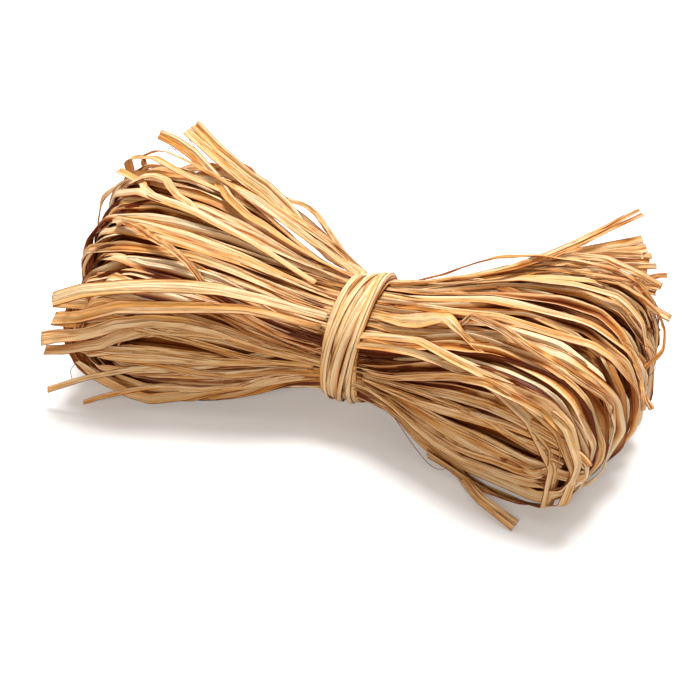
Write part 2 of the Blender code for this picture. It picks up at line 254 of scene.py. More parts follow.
def strip_rings(path, faces, across_mm, height_mm, roll=0.0, leaf=LEAF):
    """Rings round a strip.  path: stations x 3 points in metres.  faces: the direction
    its flat side faces.  across_mm and height_mm: stations x points of the section, as
    distances sideways and outwards.  The upper side is the section; the lower side is
    the same points a leaf's thickness below, less at the edges."""
    face, side = rolled(*cross_frame(path, faces), roll)
    a, h = across_mm * MM, height_mm * MM
    upper = path[:, None] + side[:, None] * a[..., None] + face[:, None] * h[..., None]
    pinch = 1 - 0.45 * np.abs(np.linspace(-1, 1, a.shape[1])) ** 4
    lower = upper - face[:, None] * (leaf * pinch)[None, :, None]
    return np.concatenate([upper, lower[:, ::-1]], axis=1)

# %% The creased section
# Where a strip's section has its points, from edge to edge; the outermost facets are
# narrow, as the edges of dried leaf curl under.
SECTION = np.array([-1.0, -0.84, -0.42, 0.0, 0.42, 0.84, 1.0])
POINTS = len(SECTION)
print("a strip's section has", POINTS, "points, and", POINTS - 1, "facets on each side")


def creased(width_mm, depth_mm=0.6, fold_mm=0.24, curl_mm=0.1):
    """Section of a strip as wide as width_mm says at each station: distances across and
    heights.  Every second point is high, by random shares that drift along the strip;
    on top of that the whole strip is folded a little like a roof or a trough, and its
    edges curl under.  Where the strip is squeezed narrow the folds are deeper."""
    count = len(width_mm)
    x = SECTION.copy()
    x[2:-2] += chance.uniform(-0.2, 0.2, POINTS - 4)
    sway = np.stack([drift(count, 9, 0.06) for _ in range(POINTS)], axis=1)
    sway[:, [0, 1, -2, -1]] = 0
    across = (x + sway) * width_mm[:, None] / 2
    high = (np.arange(POINTS) + chance.integers(2)) % 2
    share = high * chance.uniform(0.0, 1.0, POINTS)
    loose = np.stack([drift(count, 9, 0.2, 1) + drift(count, count // 3, 0.26, 0)
                      for _ in range(POINTS)], axis=1)
    folded = np.clip(4.0 / width_mm, 0.8, 1.7)[:, None]
    height = depth_mm * (share + loose) * folded
    height = height - chance.normal(0, fold_mm) * (1 + drift(count, 6, 0.5))[:, None] * np.abs(x)
    height[:, 0] = height[:, 1] - curl_mm
    height[:, -1] = height[:, -2] - curl_mm
    return across, height - height.mean(axis=1, keepdims=True)


# %% Kinks
def kinked(lines, shortest=2, longest=8, stray=0.26 * MM):
    """The same lines, run straight between some of their own stations, because dry leaf
    bends at kinks and not evenly; each kink strays a little.  lines: stations x anything."""
    count = len(lines)
    knots = np.cumsum(chance.integers(shortest, longest + 1, count))
    knots = np.concatenate([[0], knots[knots < count - 2], [count - 1]])
    place = np.arange(count)
    after = np.clip(np.searchsorted(knots, place, side="right"), 1, len(knots) - 1)
    low, high = knots[after - 1], knots[after]
    share = ((place - low) / (high - low)).reshape(-1, *[1] * (lines.ndim - 1))
    offsets = chance.normal(0, stray, (count, *[1] * (lines.ndim - 2), lines.shape[-1]))
    lines = lines + offsets
    straight = lines[low] * (1 - share) + lines[high] * share
    soft = straight.copy()
    soft[1:-1] = (straight[:-2] + 2 * straight[1:-1] + straight[2:]) / 4
    return soft

# %% [markdown]
# ## From rings to a mesh
# A bevelled curve could carry a section too, but the same one all the way.  Rings of
# points can change from station to station, and all strips of one piece go into one
# mesh.  Faces join the rings of a strip, and both ends are closed.  Each strip has its
# own row in the OFBake UV map, a second UV map in real metres for the grain, and three
# numbers for its colour: its tint, its painted light and shade on creases and edges,
# and its painted shade by depth.  The lines along the creases are marked sharp.


# %% Faces and objects
def grid_faces(stations, around):
    """For the four corners of every face between the rings, their station and their
    place round the ring, in the order that turns the face outwards."""
    i, j = (table.reshape(-1, 1) for table in np.indices((stations - 1, around)))
    return i + np.array([0, 1, 1, 0]), j + np.array([0, 0, 1, 1])


def cap_faces(around):
    """The faces that close the first ring, between its upper and its lower row."""
    k = np.arange(around // 2 - 1)
    return np.stack([k, k + 1, around - 2 - k, around - 1 - k], axis=1)


# %% Adding a piece to the scene
def add_object(name, data):
    """A new object in the scene."""
    made = bpy.data.objects.new(name, data)
    bpy.context.scene.collection.objects.link(made)
    return made


def finish_piece(mesh, uv_maps, tints_and_shades, replaced):
    """Writes the UV maps and each point's colour numbers (tint and painted light and
    shade), adds the piece to the scene under the root body, and hides the CAD parts it
    replaces.
    """
    for label, values in uv_maps.items():
        layer = mesh.uv_layers.new(name=label)
        layer.data.foreach_set("uv", values.astype(np.float32).ravel())
    # The attribute holds each point's tint, its painted light and shade on creases and edges, and
    # its painted shade by depth.
    tint = mesh.attributes.new("leaf_tint_and_shade", "FLOAT_VECTOR", "POINT")
    tint.data.foreach_set("vector", tints_and_shades.astype(np.float32).ravel())
    piece = add_object(mesh.name, mesh)
    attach(piece, "root")
    if replaced:
        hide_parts(*replaced)
    return piece


# %% One mesh from many strips
def running_length(rings):
    """How far each ring's middle lies along the strip."""
    steps = np.linalg.norm(np.diff(rings.mean(axis=1), axis=0), axis=1)
    return np.concatenate([[0], np.cumsum(steps)])


def make_piece(name, strips, replaced):
    """strips: dicts with rings (stations x ring x 3), across, tint, painted light and
    shade, and painted shade by depth.  The grain is measured in metres from a random
    start; in the OFBake UV map each strip has one row, with its end faces in narrow
    columns beside the strip's own."""
    ring = strips[0]["rings"].shape[1]
    half, cap = ring // 2, cap_faces(ring)
    corners, quads, grain, baked, tints_and_shades = [], [], [], [], []
    first = 0
    for row, strip in enumerate(strips):
        stations = len(strip["rings"])
        station, point = grid_faces(stations, ring)
        corners.append(strip["rings"].reshape(-1, 3))
        quads.append(first + station * ring + point % ring)
        length = running_length(strip["rings"])
        across = np.concatenate([strip["across"], strip["across"][:, ::-1]], axis=1) * MM
        start = chance.uniform(0, 1, 2)
        grain.append(np.stack([length[station], across[station, point % ring]], -1) + start)
        low, tall = (row + 0.06) / len(strips), 0.88 / len(strips)
        run = 0.012 + 0.976 * length / length[-1]
        baked.append(np.stack([run[station], low + tall * point / ring], axis=-1))
        for end, order in ((0, cap), (stations - 1, cap[:, ::-1])):
            quads.append(first + end * ring + order)
            grain.append(np.stack([np.full(order.shape, length[end]), across[end, order]], -1)
                         + start)
            u = np.where(order < half, 0.002, 0.009)
            v = np.where(order < half, order, ring - 1 - order) / (half - 1)
            baked.append(np.stack([u if end == 0 else 1 - u, low + tall * v], axis=-1))
        # Tint, painted light and shade, and painted shade by depth.
        numbers = np.broadcast_arrays(strip["tint"], strip["painted_light_and_shade"], strip["depth"])
        tints_and_shades.append(np.stack(numbers, axis=-1).reshape(-1, 3))
        first += stations * ring

    vertices, faces = np.concatenate(corners), np.concatenate(quads)
    mesh = bpy.data.meshes.new(name)
    mesh.vertices.add(len(vertices))
    mesh.vertices.foreach_set("co", vertices.astype(np.float32).ravel())
    mesh.loops.add(faces.size)
    mesh.loops.foreach_set("vertex_index", faces.astype(np.int32).ravel())
    mesh.polygons.add(len(faces))
    mesh.polygons.foreach_set("loop_start", np.arange(0, faces.size, 4, dtype=np.int32))
    mesh.update(calc_edges=True)
    mesh.polygons.foreach_set("use_smooth", np.ones(len(faces), bool))
    uv_maps = {"OFBake": np.concatenate(baked), "Leaf": np.concatenate(grain)}
    piece = finish_piece(mesh, uv_maps, np.concatenate(tints_and_shades), replaced)

    ends = np.empty(len(mesh.edges) * 2, np.int32)
    mesh.edges.foreach_get("vertices", ends)
    edge = mesh.attributes.new("sharp_edge", "BOOLEAN", "EDGE")
    edge.data.foreach_set("value", (ends[0::2] - ends[1::2]) % ring == 0)
    print(f"{name}: {len(strips)} strips, {2 * len(faces)} triangles")
    return piece


# %% One strip
def strip_of(path, faces, across, height, roll=0.0, tint=None, depth=0.0, leaf=LEAF):
    """A strip ready for make_piece.  Its painted light and shade is 1 on ridges, which get a
    painted highlight, -1 in valleys and -2 along the edges, which get painted shade; its
    lower side gets half as much painted shade.  The other number is the shade painted on
    it by how deep it lies."""
    # Painted light: a highlight on the crease ridges, and painted shade in the valleys, along the
    # edges and on the lower side.
    ridge = np.clip((height - height.mean(axis=1, keepdims=True)) / 0.5, -1, 1)
    ridge[:, [0, -1]] = -2
    return {
        "rings": strip_rings(path, faces, across, height, roll, leaf),
        "across": across,
        "tint": chance.uniform() if tint is None else tint,
        "painted_light_and_shade": np.concatenate([ridge, -0.5 * np.abs(ridge[:, ::-1])], axis=1),
        "depth": depth,
    }

# %% [markdown]
# ## The pile
# In a real hank each strip lies on those wound before it.  Cloth could be simulated, but
# hundreds of thin strips that touch each other seldom come to rest.  A rule is quicker
# and gives the same result each time: the strips on top and underneath are laid one
# after another on a table of heights, stations along and lanes across.  Each rests on
# the highest points under it, tilts if one edge is held up, and bridges short hollows,
# because dried leaf is stiff.  Then the table is raised where it lies, so strips cross
# as they do in a real hank.

# %% Laying strips on a pile
STATIONS = 95
BRIDGE = 4  # stations on each side over which a strip bridges a hollow
LAID_THICKNESS = 0.85  # mm that a laid turn adds to the pile


def widest(line, reach):
    """The highest value within reach of each station."""
    padded = np.pad(line, reach, mode="edge")
    return np.lib.stride_tricks.sliding_window_view(padded, 2 * reach + 1).max(axis=1)


def near_weights(count, spread):
    """A bell curve of the distance between every two of count places."""
    place = np.arange(count)
    return np.exp(-((place[:, None] - place) / spread) ** 2 / 2)


# %% The table of heights
class Pile:
    """A table of heights in mm above a floor, over stations and lanes."""

    def __init__(self, turns, reach=1.08, columns=300):
        self.turns = turns
        self.lanes = np.linspace(-reach, reach, columns)
        self.height = np.zeros((len(turns), columns))

    def read(self, table, lane):
        """Values of a table at lanes given for each station, run between columns."""
        place = (lane - self.lanes[0]) / (self.lanes[1] - self.lanes[0])
        place = np.clip(place, 0, len(self.lanes) - 1.001)
        low = place.astype(int)
        share = place - low
        rows = np.arange(len(self.turns))[:, None]
        return table[rows, low] * (1 - share) + table[rows, low + 1] * share

    def lay(self, lane, half, thick, lift=0.0):
        """Heights of a strip's section points when it is laid on the pile: two thirds
        the highest ground under each station, tilted and with hollows bridged, and a
        third the ground's own shape."""
        x = SECTION
        ground = self.read(self.height, lane[:, None] + x * half[:, None])
        tilt = rounded(np.clip((ground[:, -1] - ground[:, 0]) / 2, -1.5, 1.5) * 0.6, 5)
        rest = (ground - tilt[:, None] * x).max(axis=1)
        closed = -widest(-widest(rest, BRIDGE), BRIDGE)
        rest = np.maximum(rounded(closed, 3), rest - 0.4) + lift
        drape = np.stack([rounded(ground[:, k], 3) for k in range(POINTS)], axis=1)
        section = 0.65 * (rest[:, None] + tilt[:, None] * x) + 0.35 * drape
        share = (self.lanes[None, :] - lane[:, None]) / half[:, None]
        top = rest[:, None] + tilt[:, None] * share + thick
        covered = np.abs(share) <= 1.0
        self.height[covered] = np.maximum(self.height, top)[covered]
        return section

    def level(self, spread_turns, spread_lanes):
        """The table smoothed over a wide neighbourhood."""
        along = near_weights(len(self.turns), spread_turns)
        sideways = near_weights(len(self.lanes), spread_lanes)
        inside = (np.abs(self.lanes) < 0.97).astype(float)
        weight = along @ np.broadcast_to(inside, self.height.shape) @ sideways
        return (along @ (self.height * inside) @ sideways) / np.maximum(weight, 1e-9)

# %% [markdown]
# ## The turns
# A half turn leaves the tie on top, fans out over the lobe, bends over its end and comes
# back underneath.  An array of copies would line up like the teeth of a comb, so each
# half turn is planned by itself.  Its lane wanders and crosses others, and later turns
# lie looser.  At the tie a strip is squeezed to less than half its width.


# %% Places along a turn
def held(turn):
    """1 under the tie, 0 out on the lobe."""
    return 1 - smooth((quarter_of(turn) - 0.05) / 0.34)


def pressed(turn):
    """1 right under the tie's wraps, 0 beside them."""
    return smooth((0.105 - quarter_of(turn)) / 0.04)


def bump(turn, middle, reach):
    """1 at the middle turn, 0 beyond reach."""
    return smooth(1 - np.abs(turn - middle) / reach)

# %% Gaps between the outer turns
# Gaps that the outer strips leave open: side, quarter turn, lane, half length (quarter
# turns), half width (mm).
OPENINGS = (
    (-1, 0.62, -0.86, 0.13, 1.6), (-1, 0.53, -0.74, 0.09, 1.2), (-1, 0.66, -0.31, 0.11, 1.1),
    (-1, 0.6, 0.05, 0.09, 1), (-1, 0.44, 0.38, 0.1, 0.8), (-1, 0.4, -0.32, 0.09, 0.8),
    (1, 0.41, -0.33, 0.08, 0.7), (1, 0.3, -0.75, 0.12, 0.8), (1, 0.5, 0.3, 0.1, 0.9),
)
OPEN_FROM = 0.72  # share of the turns laid before those that keep the gaps open
GATHER = 0.54  # share of its width that a strip loses at the tie


def push_aside(lane, turns, side, width):
    """The lane of a strip moved clear of the openings of its lobe: it passes each on
    the side where its middle runs, and the push fades over some millimetres."""
    size = lane_size(lane, turns) / MM
    for opening_side, quarter, middle, reach, gap in OPENINGS:
        if opening_side != side:
            continue
        where = turn_of(side, quarter)
        beside_it = float(np.interp(where, turns, lane)) - middle
        away = beside_it * float(np.interp(where, turns, size))
        push = max(gap + 0.45 * width - 0.8 * abs(away), 0.0)
        lane = lane + math.copysign(push, beside_it) / size * bump(turns, where, reach)
    return lane


def turn_of(side, quarter, under=False):
    """The turn t of a quarter turn counted from the tie on one lobe."""
    if under:
        return 2 - quarter if side > 0 else 2 + quarter
    return quarter if side > 0 else 4 - quarter


# %% Planning a half turn by chance
def plan_turn(turns, side, middle_lane, outer, usual_width):
    """Lane, width (mm), lift (mm), roll and reach (mm) of a half turn; outer runs from
    0, first laid, to 1, last laid.  The lane runs almost straight from a place at the
    waist to one at the lobe's end, and underneath to another place at the waist."""
    start = turns[0] + 0.05
    leaves, enters = middle_lane + chance.normal(0, 0.2, 2)
    if chance.uniform() < 0.35:
        leaves += chance.normal(0, 0.30)
    over = middle_lane + chance.normal(0, 0.025)
    under = over + chance.normal(0, 0.09)
    knots = start + np.array([-0.05, 0.12, 0.5, 0.85, 1.15, 1.5, 1.88, 2.05])
    lanes = [leaves, leaves, (leaves + 2 * over) / 3, over, under, (2 * under + enters) / 3,
             enters, enters]
    lanes[2] += chance.normal(0, 0.035)
    width = float(np.clip(chance.lognormal(math.log(usual_width), 0.4), 1.6, 7.2))
    lane = rounded(np.interp(turns, knots, lanes), 3) + drift(len(turns), 15, 0.010, 1)
    if outer > OPEN_FROM:
        lane = push_aside(lane, turns, side, width)
    lane = lane / (1 + np.abs(lane / 1.04) ** 6) ** (1 / 6)

    widths = width * (1 - GATHER * held(turns)) * (1 + drift(len(turns), 10, 0.11))
    lift = np.zeros(len(turns))
    if outer > 0.5:
        where = start + chance.choice([0.2, 0.35, 0.5, 1.6]) + chance.normal(0, 0.06)
        lift += abs(chance.normal(0, 1.3)) * outer * bump(turns, where, chance.uniform(0.18, 0.34))
    slack = (chance.uniform() < 0.16) * chance.uniform(1.0, 3.4) * (1 - smooth((lane - 0.3) / 0.5))
    lift += slack * bump(turns, start + 1.0 + chance.normal(0, 0.08), 0.42)
    for corner in (0.8, 1.2):
        lift += abs(chance.normal(0, 0.8)) * outer * bump(turns, start + corner, 0.14)

    roll = (chance.normal(0, 0.17) + drift(len(turns), 8, 0.24)) * (1 - 0.6 * held(turns))
    if chance.uniform() < 0.4:
        where = start + chance.choice([0.25, 0.4, 0.55, 0.7, 0.85, 1.5, 1.75])
        run = chance.uniform(0.06, 0.15)
        twist = smooth((turns - where) / run)
        roll = roll + chance.choice([-1, 1]) * math.pi * twist
        widths = widths * (1 - 0.5 * np.sin(math.pi * twist) ** 2)
    reach = min(chance.normal(-1.2, 2.0), 2.0)
    return {"lane": lane, "widths": widths, "lift": lift, "roll": roll, "reach": reach}

# %% Planning the boldest turns
# Outer turns with a place of their own: side, quarter turns, lanes there, width (mm) on
# the lobe, reach (mm).
PLACED_TURNS = (
    (-1, (0, 0.43, 0.58, 0.68, 0.89, 1), (-0.38, -0.42, -0.48, -0.5, -0.27, -0.25), 4.8, -1),
    (-1, (0, 0.45, 0.62, 0.9, 1), (-0.2, -0.3, -0.36, -0.04, 0), 4.4, 0.5),
    (-1, (0, 0.39, 0.6, 0.83, 1), (-0.6, -0.67, -0.68, -0.45, -0.42), 4.6, 0.5),
    (-1, (0, 0.36, 0.61, 0.73, 0.9, 1), (-0.24, -0.22, -0.17, -0.08, 0.02, 0.04), 5.6, 1.5),
    (-1, (0, 0.39, 0.56, 0.7, 0.86, 1), (0.1, 0.14, 0.16, 0.17, 0.28, 0.3), 4.2, 1),
    (-1, (0, 0.5, 0.63, 0.86, 1), (-0.8, -0.95, -0.93, -0.58, -0.52), 5.8, 2),
    (1, (0, 0.17, 0.33, 0.51, 0.75, 0.93, 1), (-0.38, -0.42, -0.7, -0.88, -0.9, -0.86, -0.85),
     4.4, 0),
    (1, (0, 0.2, 0.32, 0.49, 0.61, 0.78, 0.89, 1),
     (-0.1, -0.19, -0.22, -0.24, -0.3, -0.25, -0.15, -0.12), 4.2, 1),
    (1, (0, 0.24, 0.37, 0.5, 0.8, 1), (-0.75, -0.82, -0.88, -0.94, -0.95, -0.94), 5, 0),
    (1, (0, 0.3, 0.43, 0.64, 0.76, 0.89, 1), (-0.02, 0.03, -0.02, -0.06, 0.03, 0.05, 0.05),
     5, 1.5),
    (1, (0, 0.3, 0.6, 0.76, 0.9, 1), (-0.3, -0.34, -0.4, -0.42, -0.52, -0.54), 4.4, -1),
    (1, (0, 0.3, 0.55, 0.8, 0.93, 1), (-0.45, -0.52, -0.6, -0.56, -0.42, -0.4), 4.8, -0.5),
    (1, (0, 0.28, 0.62, 0.8, 1), (0.12, 0.1, 0.16, 0.08, -0.02), 4.6, -0.5),
    (1, (0, 0.3, 0.6, 0.85, 1), (-0.58, -0.62, -0.7, -0.74, -0.7), 4.8, -0.5),
    (1, (0, 0.3, 0.6, 0.85, 1), (-0.66, -0.72, -0.78, -0.84, -0.82), 4.4, -1),
)


def placed_turn(turns, side, quarters, lanes, width, reach):
    """The plan of a turn whose lane is given on top; underneath it keeps to its lane."""
    top = turns <= 1 if side > 0 else turns >= 3
    quarter = quarter_of(turns)
    lane = np.where(top, np.interp(quarter, quarters, lanes), lanes[-1])
    count = len(turns)
    lane = rounded(lane, 2) + drift(count, 15, 0.006, 1)
    widths = width * (1 - GATHER * held(turns)) * (1 + drift(count, 10, 0.08))
    return {"lane": lane, "widths": widths, "lift": np.full(count, 0.3),
            "roll": drift(count, 8, 0.1), "reach": reach}


# %% Laying one turn
def lay_turn(pile, plan):
    """Lays one planned turn on the pile and adds what is needed to build it."""
    widths, turns = plan["widths"], pile.turns
    half = widths * MM / 2 / lane_size(plan["lane"], turns)
    standing = widths / 2 * np.abs(np.sin(plan["roll"])) * 0.7
    thick = LAID_THICKNESS * (1 - 0.45 * held(turns))
    section = pile.lay(plan["lane"], half, thick[:, None], plan["lift"] + rounded(standing, 1))
    return {**plan, "half": half, "section": section}


# %% Off the floor
def above_floor(rings):
    """Rings lifted station by station where they would reach below the floor."""
    margin = chance.uniform(0.1, 0.6) * MM
    short = np.maximum(margin - rings[..., 2].min(axis=1), 0.0)
    lifted = rings.copy()
    lifted[..., 2] += rounded(widest(short, 4), 2)[:, None]
    return lifted


# %% From the pile to the shape
def build_turn(pile, level, high, laid, keep=slice(None)):
    """A strip on the hank's shape: each section point stands off the shape by its
    height in the pile less the pile's level there, squeezed flatter near the tie.  Shade
    is painted on it by how far it lies below the strips around it, 0 to 1, less towards
    the lobe's end and a little more on its lower side."""
    turns, lane, half = pile.turns, laid["lane"], laid["half"]
    lanes = lane[:, None] + SECTION * half[:, None]
    above = laid["section"] - pile.read(level, np.clip(lanes, -1, 1))
    above = above * (0.85 - 0.5 * held(turns)[:, None]) * (1 - 0.8 * pressed(turns)[:, None])
    above = above - 0.7 * pressed(turns)[:, None]
    at = (lanes, turns[:, None])
    points = hank(*at) + outward(*at) * above[..., None] * MM
    further = laid["reach"] * MM * smooth((quarter_of(turns) - 0.45) / 0.55)
    points[..., 0] += math.copysign(1, 2 - turns[0]) * further[:, None]
    points = kinked(points)
    path = points.mean(axis=1)
    normal, across = cross_frame(path, outward(lane, turns))
    offset = points - path[:, None]
    drape = np.einsum("ijk,ik->ij", offset, normal) / MM
    reach = np.einsum("ijk,ik->ij", offset, across) / MM
    fold_across, fold_height = creased(laid["widths"])
    fold_height = fold_height * (1 - 0.75 * pressed(turns)[:, None])
    across_mm = 0.35 * reach + 0.65 * fold_across
    # Painted shade: the further a point lies below the strips around it, the darker; less towards
    # the lobe's end, and a little more on the lower side.
    below = pile.read(high, lanes) - laid["section"] - 0.7
    depth = smooth((below - 0.3) / (3.4 - 1.9 * held(turns)[:, None]))
    depth = depth * (1 - 0.45 * smooth((quarter_of(turns) - 0.74) / 0.2))[:, None]
    depth = np.concatenate([depth, np.minimum(depth[:, ::-1] + 0.12, 1.0)], axis=1)
    strip = strip_of(path[keep], normal[keep], across_mm[keep], (drape + fold_height)[keep],
                     laid["roll"][keep], depth=depth[keep])
    strip["rings"] = above_floor(strip["rings"])
    return strip

# %% Laying all the turns of both lobes
GOLDEN = 0.6180339887
FIRST_LAID = 44  # the turns at the bottom of the pile, built with a third of the stations
# Of each lobe: how many turns, their usual width (mm), where the first one lies.
LAYING = {1: (122, 3.2, 0.13), -1: (114, 3.5, 0.57)}


def lay_lobe(side, count, usual_width, seed_lane):
    """All half turns of one lobe in the order in which they are laid."""
    turns = np.linspace(-0.05, 2.05, STATIONS) + (0 if side > 0 else 2)
    pile = Pile(turns)
    laid = []
    for number in range(count):
        outer = number / (count - 1)
        place = (seed_lane + number * GOLDEN) % 1.0
        if outer > 0.45:
            place = (place + chance.normal(0, 0.008)) % 1.0
        plan = plan_turn(turns, side, -0.98 + 1.96 * place, outer, usual_width)
        laid.append(lay_turn(pile, plan))
    for placed_side, *route in PLACED_TURNS:
        if placed_side == side:
            laid.append(lay_turn(pile, placed_turn(turns, side, *route)))
    return pile, laid

# %% Both lobes
lobe_strips = {}
for side, laying in LAYING.items():
    pile, laid = lay_lobe(side, *laying)
    level = pile.level(6.0, 9.0)
    high = pile.level(1.0, 2.4)
    lobe_strips[side] = [
        build_turn(pile, level, high, strip,
                   keep=slice(None, None, 3 if number < FIRST_LAID else 1))
        for number, strip in enumerate(laid)
    ]
    print("pile on lobe", side, "mm high on average:", round(float(level.mean()), 1))

# %% [markdown]
# ## The sides of the lobes
# Seen from the side, the loops of a hank lie inside each other like shingles.  The pile
# can't give them, because it only stacks strips upwards.  So each is a loop of its own
# nest and lane, rolled outwards along the straight runs.

# %% Nested loops at the sides
SIDE_STATIONS = 91
SIDE_REACH = 48.0  # mm from the middle of a lobe to its side


def side_loop(side, end, nest, inset, waist_lane, waist_nest, depth, every=1):
    """A strip of the loop with this nest, inset in mm from the side at lane end, with the
    shade painted on it by depth.  Only one in so many (every) of its stations is kept."""
    turns = np.linspace(-0.02, 2.02, SIDE_STATIONS) + (0 if side > 0 else 2)
    out = smooth((quarter_of(turns) - 0.04) / 0.4)
    lane_out = end * (1.0 - inset / SIDE_REACH)
    lane = end * waist_lane + (lane_out - end * waist_lane) * out
    lane = lane + end * drift(SIDE_STATIONS, 9, 0.022)
    nests = waist_nest + (nest - waist_nest) * out + drift(SIDE_STATIONS, 8, 0.06)
    nests = np.clip(nests, 0.1, 1.0)
    width = float(np.clip(chance.lognormal(math.log(4.6), 0.3), 2.6, 6.6))
    widths = width * (1 - 0.5 * held(turns)) * (1 + drift(SIDE_STATIONS, 8, 0.1))
    lean = math.radians(58) - math.radians(46) * smooth((quarter_of(turns) - 0.62) / 0.3)
    roll = end * -(lean + chance.normal(0, 0.3) + drift(SIDE_STATIONS, 7, 0.35))
    path = kinked(hank(lane, turns, nests))
    across, height = creased(widths, 0.5)
    height = height * (1 - 0.75 * pressed(turns)[:, None])
    keep = slice(None, None, every)
    strip = strip_of(path[keep], outward(lane, turns, np.maximum(nests, 0.3))[keep], across[keep],
                     height[keep], roll[keep], depth=depth)
    strip["rings"] = above_floor(strip["rings"])
    return strip

# %% Columns of side loops
# For each column of loops behind the side: how many, how far in (mm), and the nest of the
# innermost.
SIDE_COLUMNS = ((6, 0.6, 0.22), (7, 4.6, 0.2), (7, 10.0, 0.14))
side_strips = {-1: [], 1: []}
for end in (-1, 1):
    for side in (1, -1):
        for column, (count, inset, least) in enumerate(SIDE_COLUMNS):
            for number in range(count):
                share = (number + 0.5 + chance.uniform(-0.45, 0.45)) / count
                # Loops in a column further in get more painted shade.
                side_strips[end].append(side_loop(
                    side, end, least + (0.96 - least) * share, inset + chance.uniform(-1.5, 3.4),
                    0.99 - 0.09 * column, 0.25 + 0.75 * share + chance.normal(0, 0.2),
                    0.5 * column, 1 if column == 0 else 2))
print("side loops:", {end: len(strips) for end, strips in side_strips.items()})

# %% [markdown]
# ## The inner strands
# Between the outer turns one looks down on more strands.  More strips would do, but most
# of their faces would never be seen.  So they are one closed ribbed body inside the
# pile: a loft through the inner loops, with ridges along it, painted in deep shade that
# is lighter on the ridges.


# %% Sections of the ribbed inner body
def inner_body():
    """Sections from the left end to the right end: top lanes near to far, down the far
    side, underneath far to near, up the near side.  Ridges are sawtooth waves over the
    lanes; the end sections close to a line."""
    quarters = np.concatenate([np.linspace(1, 0, 56), np.linspace(0, 1, 56)[1:]])
    lobe = np.concatenate([-np.ones(56), np.ones(55)])
    top_turns = np.where(lobe < 0, 4 - quarters, quarters)
    under_turns = np.where(lobe < 0, 2 + quarters, 2 - quarters)
    lanes = np.linspace(-0.9, 0.9, 121)
    ridge = np.abs(((lanes * 13.0 + 0.3 * np.sin(7 * lanes)) % 1.0) - 0.35) * 1.6
    nest = 0.74 + 0.04 * ridge
    out = smooth(quarters / 0.3)[:, None]
    nest = nest[None, :] * (0.93 + 0.07 * out)
    top = hank(lanes[None, :], top_turns[:, None], nest)
    under = hank(lanes[None, ::-1], under_turns[:, None], nest[:, ::-1])
    share = np.linspace(0, 1, 34)[1:-1]
    wave = np.abs(((share * 9.0) % 1.0) - 0.4) * 2.2 * MM
    far = top[:, -1:] + (under[:, :1] - top[:, -1:]) * share[None, :, None]
    near = under[:, -1:] + (top[:, :1] - under[:, -1:]) * share[None, :, None]
    sink = (wave[None, :] + 1.0 * MM) * out * (1 - smooth((quarters - 0.8) / 0.2))[:, None]
    far[..., 1] -= sink
    near[..., 1] += sink
    relief = np.concatenate([ridge, wave / wave.max(), ridge[::-1], wave / wave.max()])
    return np.concatenate([top, far, under, near], axis=1), relief


# %% The ribbed inner body
def make_inner_body():
    """The grid as a mesh whose two ends are closed across their flat sections."""
    sections, relief = inner_body()
    stations, around = sections.shape[:2]
    station, point = grid_faces(stations, around)
    cap = cap_faces(around)
    faces = np.concatenate([station * around + point % around, cap,
                            (stations - 1) * around + cap[:, ::-1]])
    mesh = bpy.data.meshes.new("inner_strands_ribbed")
    mesh.from_pydata(sections.reshape(-1, 3).tolist(), [], faces.tolist())
    length, girth = np.linspace(0, 0.24, stations), np.linspace(0, 0.26, around + 1)
    grain = np.stack([length[station], girth[point]], axis=-1)
    grain = np.concatenate([grain, np.zeros((2 * len(cap), 4, 2))])
    # Painted shade: deep all over the inner body, less on its ridges.
    numbers = np.broadcast_arrays(0.5, 0.0, np.tile(1.0 - 0.55 * relief, (stations, 1)))
    print("inner body:", 2 * len(faces), "triangles")
    return finish_piece(mesh, {"Leaf": grain}, np.stack(numbers, axis=-1), ["inner_strands"])

# %% [markdown]
# ## Strands that stand out
# Some strands cross the others or stand away from them, and cut ends stick out of the
# lobes.  They give a hank its character, so they aren't left to chance, and the main
# ones run where the CAD strands do.  A route is a few points in mm from the foot of the
# tie, or a run over the lanes and then free points.  Each strand is a few strips side by
# side that fan apart towards a cut end.

# %% Routes
PATH_STATIONS = 80
AIR_FACING = (0.1, -0.55, 0.85)  # where a strip faces once it has left the hank


def over_lanes(side, lanes, quarters, lifts, count, under=False):
    """Points and outward directions above the shape, as lane, quarter and lift run on."""
    lane = spaced(lanes, count)
    turn = turn_of(side, spaced(quarters, count), under)
    face = outward(lane, turn)
    return hank(lane, turn) + face * spaced(lifts, count)[:, None] * MM, face


def beside(side, end, shares, quarters, count, stand_off=1.0):
    """Points just off a side of a lobe, at shares of its height."""
    quarter = spaced(quarters, count)
    high = hank(end, turn_of(side, quarter))
    low = hank(end, turn_of(side, quarter, under=True))
    points = (high + low) / 2 + (high - low) / 2 * spaced(shares, count)[:, None]
    points[:, 1] += end * stand_off * MM
    return points, np.tile((0.0, float(end), 0.5), (count, 1))


def free(points_mm):
    """Points given in mm from the foot of the tie."""
    return np.asarray(points_mm, float) * MM + TIE_PLACE


# %% Smooth routes
def guided(points, faces, count):
    """A smooth path through the points, with the facing directions carried along."""
    both = through(np.concatenate([points, faces], axis=1), count)
    return both[:, :3], both[:, 3:]


def join(ridden, faces, loose):
    """One smooth path along the hank and then through the loose points."""
    turned = np.concatenate([faces, np.tile(AIR_FACING, (len(loose), 1))])
    return guided(np.concatenate([ridden, loose]), turned, PATH_STATIONS)


